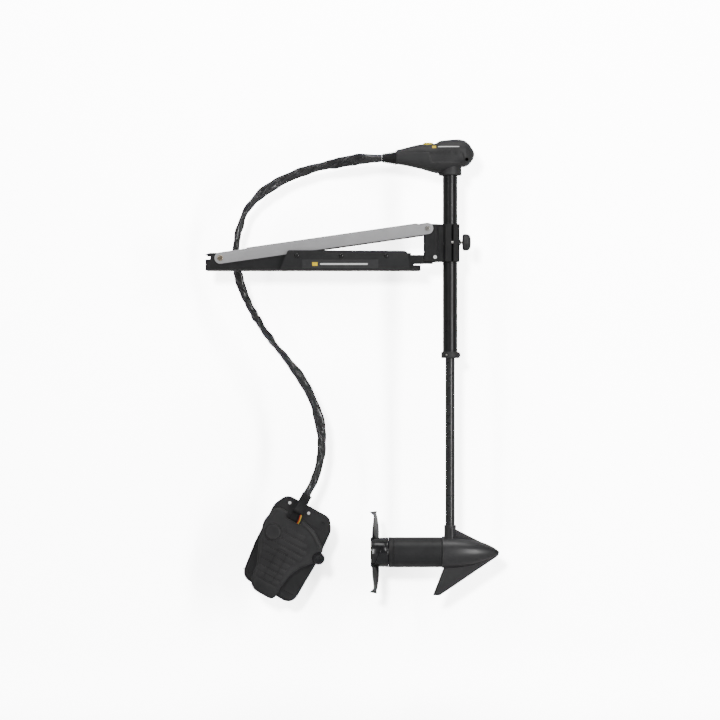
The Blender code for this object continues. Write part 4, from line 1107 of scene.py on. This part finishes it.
def makeTreadle(spec):
    bm = slab(rounded(spec["outline"], 10), "z", spec["low"], spec["high"] - spec["shoulder"])
    top = max(bm.faces, key=lambda f: f.calc_center_median().z)
    shoulder(bm, top, spec["shoulder"])
    bmesh.ops.recalc_face_normals(bm, faces=bm.faces)
    obj = piece("footPlate", toPedal(bm), "pedalPlastic", "treadle", ["treadle"], "black_plastic", 40)
    combine(obj, toPedal(slab(rounded(spec["notch"], 8), "z", 5, 40)))
    for low, high, left, right in spec["bars"]:
        grip = slab([(left, low), (right - 5, low), (right, low + 5), (right, high), (left, high)],
                    "z", 20, 23.3)
        combine(obj, toPedal(soften(grip, 1.0, 3)), "UNION")
    # outline groove of the centre panel
    outer = rounded([(-22, -8, 7), (12, -8, 7), (12, -114, 16), (-22, -114, 16)], 6)
    inner = rounded([(-20, -10, 5), (10, -10, 5), (10, -112, 14), (-20, -112, 14)], 6)
    combine(obj, toPedal(ringOf(outer, inner, 20.4, 26)))
    # smooth heel pad, slightly proud
    heel = rounded([(-42, -118, 4), (35, -118, 4), (35, -135, 22), (23, -150, 22), (-28, -150, 22),
                    (-41, -135, 22)], 8)
    combine(obj, toPedal(soften(slab(heel, "z", 20, 22.9), 0.8, 3)), "UNION")
    # curved ridge from the toe round to the dial
    path = smoothLine([(8, 88, 21.2), (24, 87, 21.6), (42, 81, 21.8), (58, 73, 21.8), (74, 60, 21.8),
                       (83, 50, 21.2)], 5)

    def ridgePoint(turn, t):
        here, ahead = onLine(path, t)
        out = Vector((ahead.y, -ahead.x, 0)).normalized()
        wide = 4.6 * math.sin(math.pi * (0.06 + 0.88 * t)) ** 0.5
        return here + out * wide * math.cos(turn) + Vector((0, 0, 2.6 * math.sin(turn)))

    combine(obj, toPedal(sweep(20, len(path) - 1, ridgePoint)), "UNION")
    x, y = spec["button"]
    cup = lathe([(0, 2), (28.5, 2), (28.5, 14), (0, 14)], "z", (x, y), 72)
    combine(obj, toPedal(cup), "UNION")
    # deep enough for the pressed button
    combine(obj, toPedal(bar("z", (x, y), 25.3, 4, 30, 96)))
    x, y = spec["dial"]
    combine(obj, toPedal(bar("z", (x, y), 20.4, 14, 40, 72)))
    # pivot boss underneath
    boss = bar("x", (pedalBase["rock"], 0), 9.0, -40, 40, 40)
    combine(obj, toPedal(boss), "UNION")
    combine(obj, toPedal(bar("x", (pedalBase["rock"], 0), 4.3, -60, 60)))
    shade(obj)

    x, y = spec["button"]
    crown = [(24.7, 13.5), (24.7, 22.6), (24.0, 24.0), (22.4, 24.8), (19, 25.0), (10, 24.5), (0, 24.3)]
    button = lathe([(0, 13.5)] + crown, "z", (x, y), 96)
    shade(piece("pedalButton", toPedal(button), "pedalPlastic", "button", ["momentary_button"],
                "black_plastic", 40))

    # knurled dial
    x, y = spec["dial"]
    bm = lathe([(0, 14.3), (18.2, 14.3), (18.2, 24.6), (17.2, 26.2), (14.5, 27.0), (9, 26.4), (0, 26.2)], "z",
               (x, y), 144)
    for v in bm.verts:
        dx, dy = v.co.x - x, v.co.y - y
        reach = math.hypot(dx, dy)
        if reach > 16.5:
            grow = 1 + 0.038 * math.cos(24 * math.atan2(dy, dx))
            v.co.x, v.co.y = x + dx * grow, y + dy * grow
    obj = piece("speedDial", toPedal(bm), "propGloss", "dial", ["speed_dial"], "black_plastic", 34)
    combine(obj, toPedal(soften(block((x - 1.3, x + 1.3), (y + 3, y + 14), (25.5, 27.0)), 0.3, 1)), "UNION")
    shade(obj)


def ringOf(outer, inner, low, high):
    # band between two outlines with matching points
    bm = bmesh.new()
    loops = []
    for line in (outer, inner):
        ring = [bm.verts.new((x, y, low)) for x, y in line]
        loops.append([bm.edges.new((a, b)) for a, b in zip(ring, ring[1:] + ring[:1])])
    faces = bmesh.ops.bridge_loops(bm, edges=loops[0] + loops[1])["faces"]
    pushed = bmesh.ops.extrude_face_region(bm, geom=faces)["geom"]
    bmesh.ops.translate(bm, verts=newVerts(pushed), vec=(0, 0, high - low))
    bmesh.ops.recalc_face_normals(bm, faces=bm.faces)
    return bm


makeTreadle(treadle)

boot = {"v": -23.0, "start": 111.5, "end": 174.0, "wide": 16.8, "narrow": 16.0, "low": -33.5, "high": -8.5}


def makeBoot(spec):
    v, s, e = spec["v"], spec["start"], spec["end"]
    outline = [(v - spec["wide"], s), (v + spec["wide"], s), (v + spec["narrow"] - 0.9, e - 6),
               (v + spec["narrow"], e - 5), (v + spec["narrow"], e), (v - spec["narrow"], e),
               (v - spec["narrow"], e - 5), (v - spec["narrow"] + 0.9, e - 6)]
    bm = slab(outline, "z", spec["low"], spec["high"])
    soften(bm, 1.8, 3)
    obj = piece("cableBoot", toPedal(bm), "bootRubber", "column", ["cable_boot"], "rubber", 40)
    panel = soften(slab([(v - 12, s + 7), (v + 12, s + 7), (v + 10, e - 12), (v - 10, e - 12)], "z",
                        spec["high"] - 0.7, spec["high"] + 3), 0.6, 2)
    combine(obj, toPedal(panel))
    shade(obj)
    # three thin leads beside the flat tail
    for i, name in enumerate(("wireRed", "wireOrange", "wireYellow")):
        x = -9.6 + 2.1 * i
        line = smoothLine([(x - 3, 112.5, -22), (x - 1, 104, -19.5), (x + 0.6, 96, -20.5), (x + 1.2, 86, -25),
                           (x + 0.8, 76, -30)], 8)

        def leadPoint(turn, t, line=line):
            here, ahead = onLine(line, t)
            right = ahead.cross(Vector((0, 0, 1))).normalized()
            return here + right * 0.95 * math.cos(turn) + right.cross(ahead) * 0.95 * math.sin(turn)

        lead = sweep(14, len(line) - 1, leadPoint)
        shade(piece(name, toPedal(lead), name, "column", (), "cable_sleeve", 60))


makeBoot(boot)
print("pedal ready")

dressFrame()
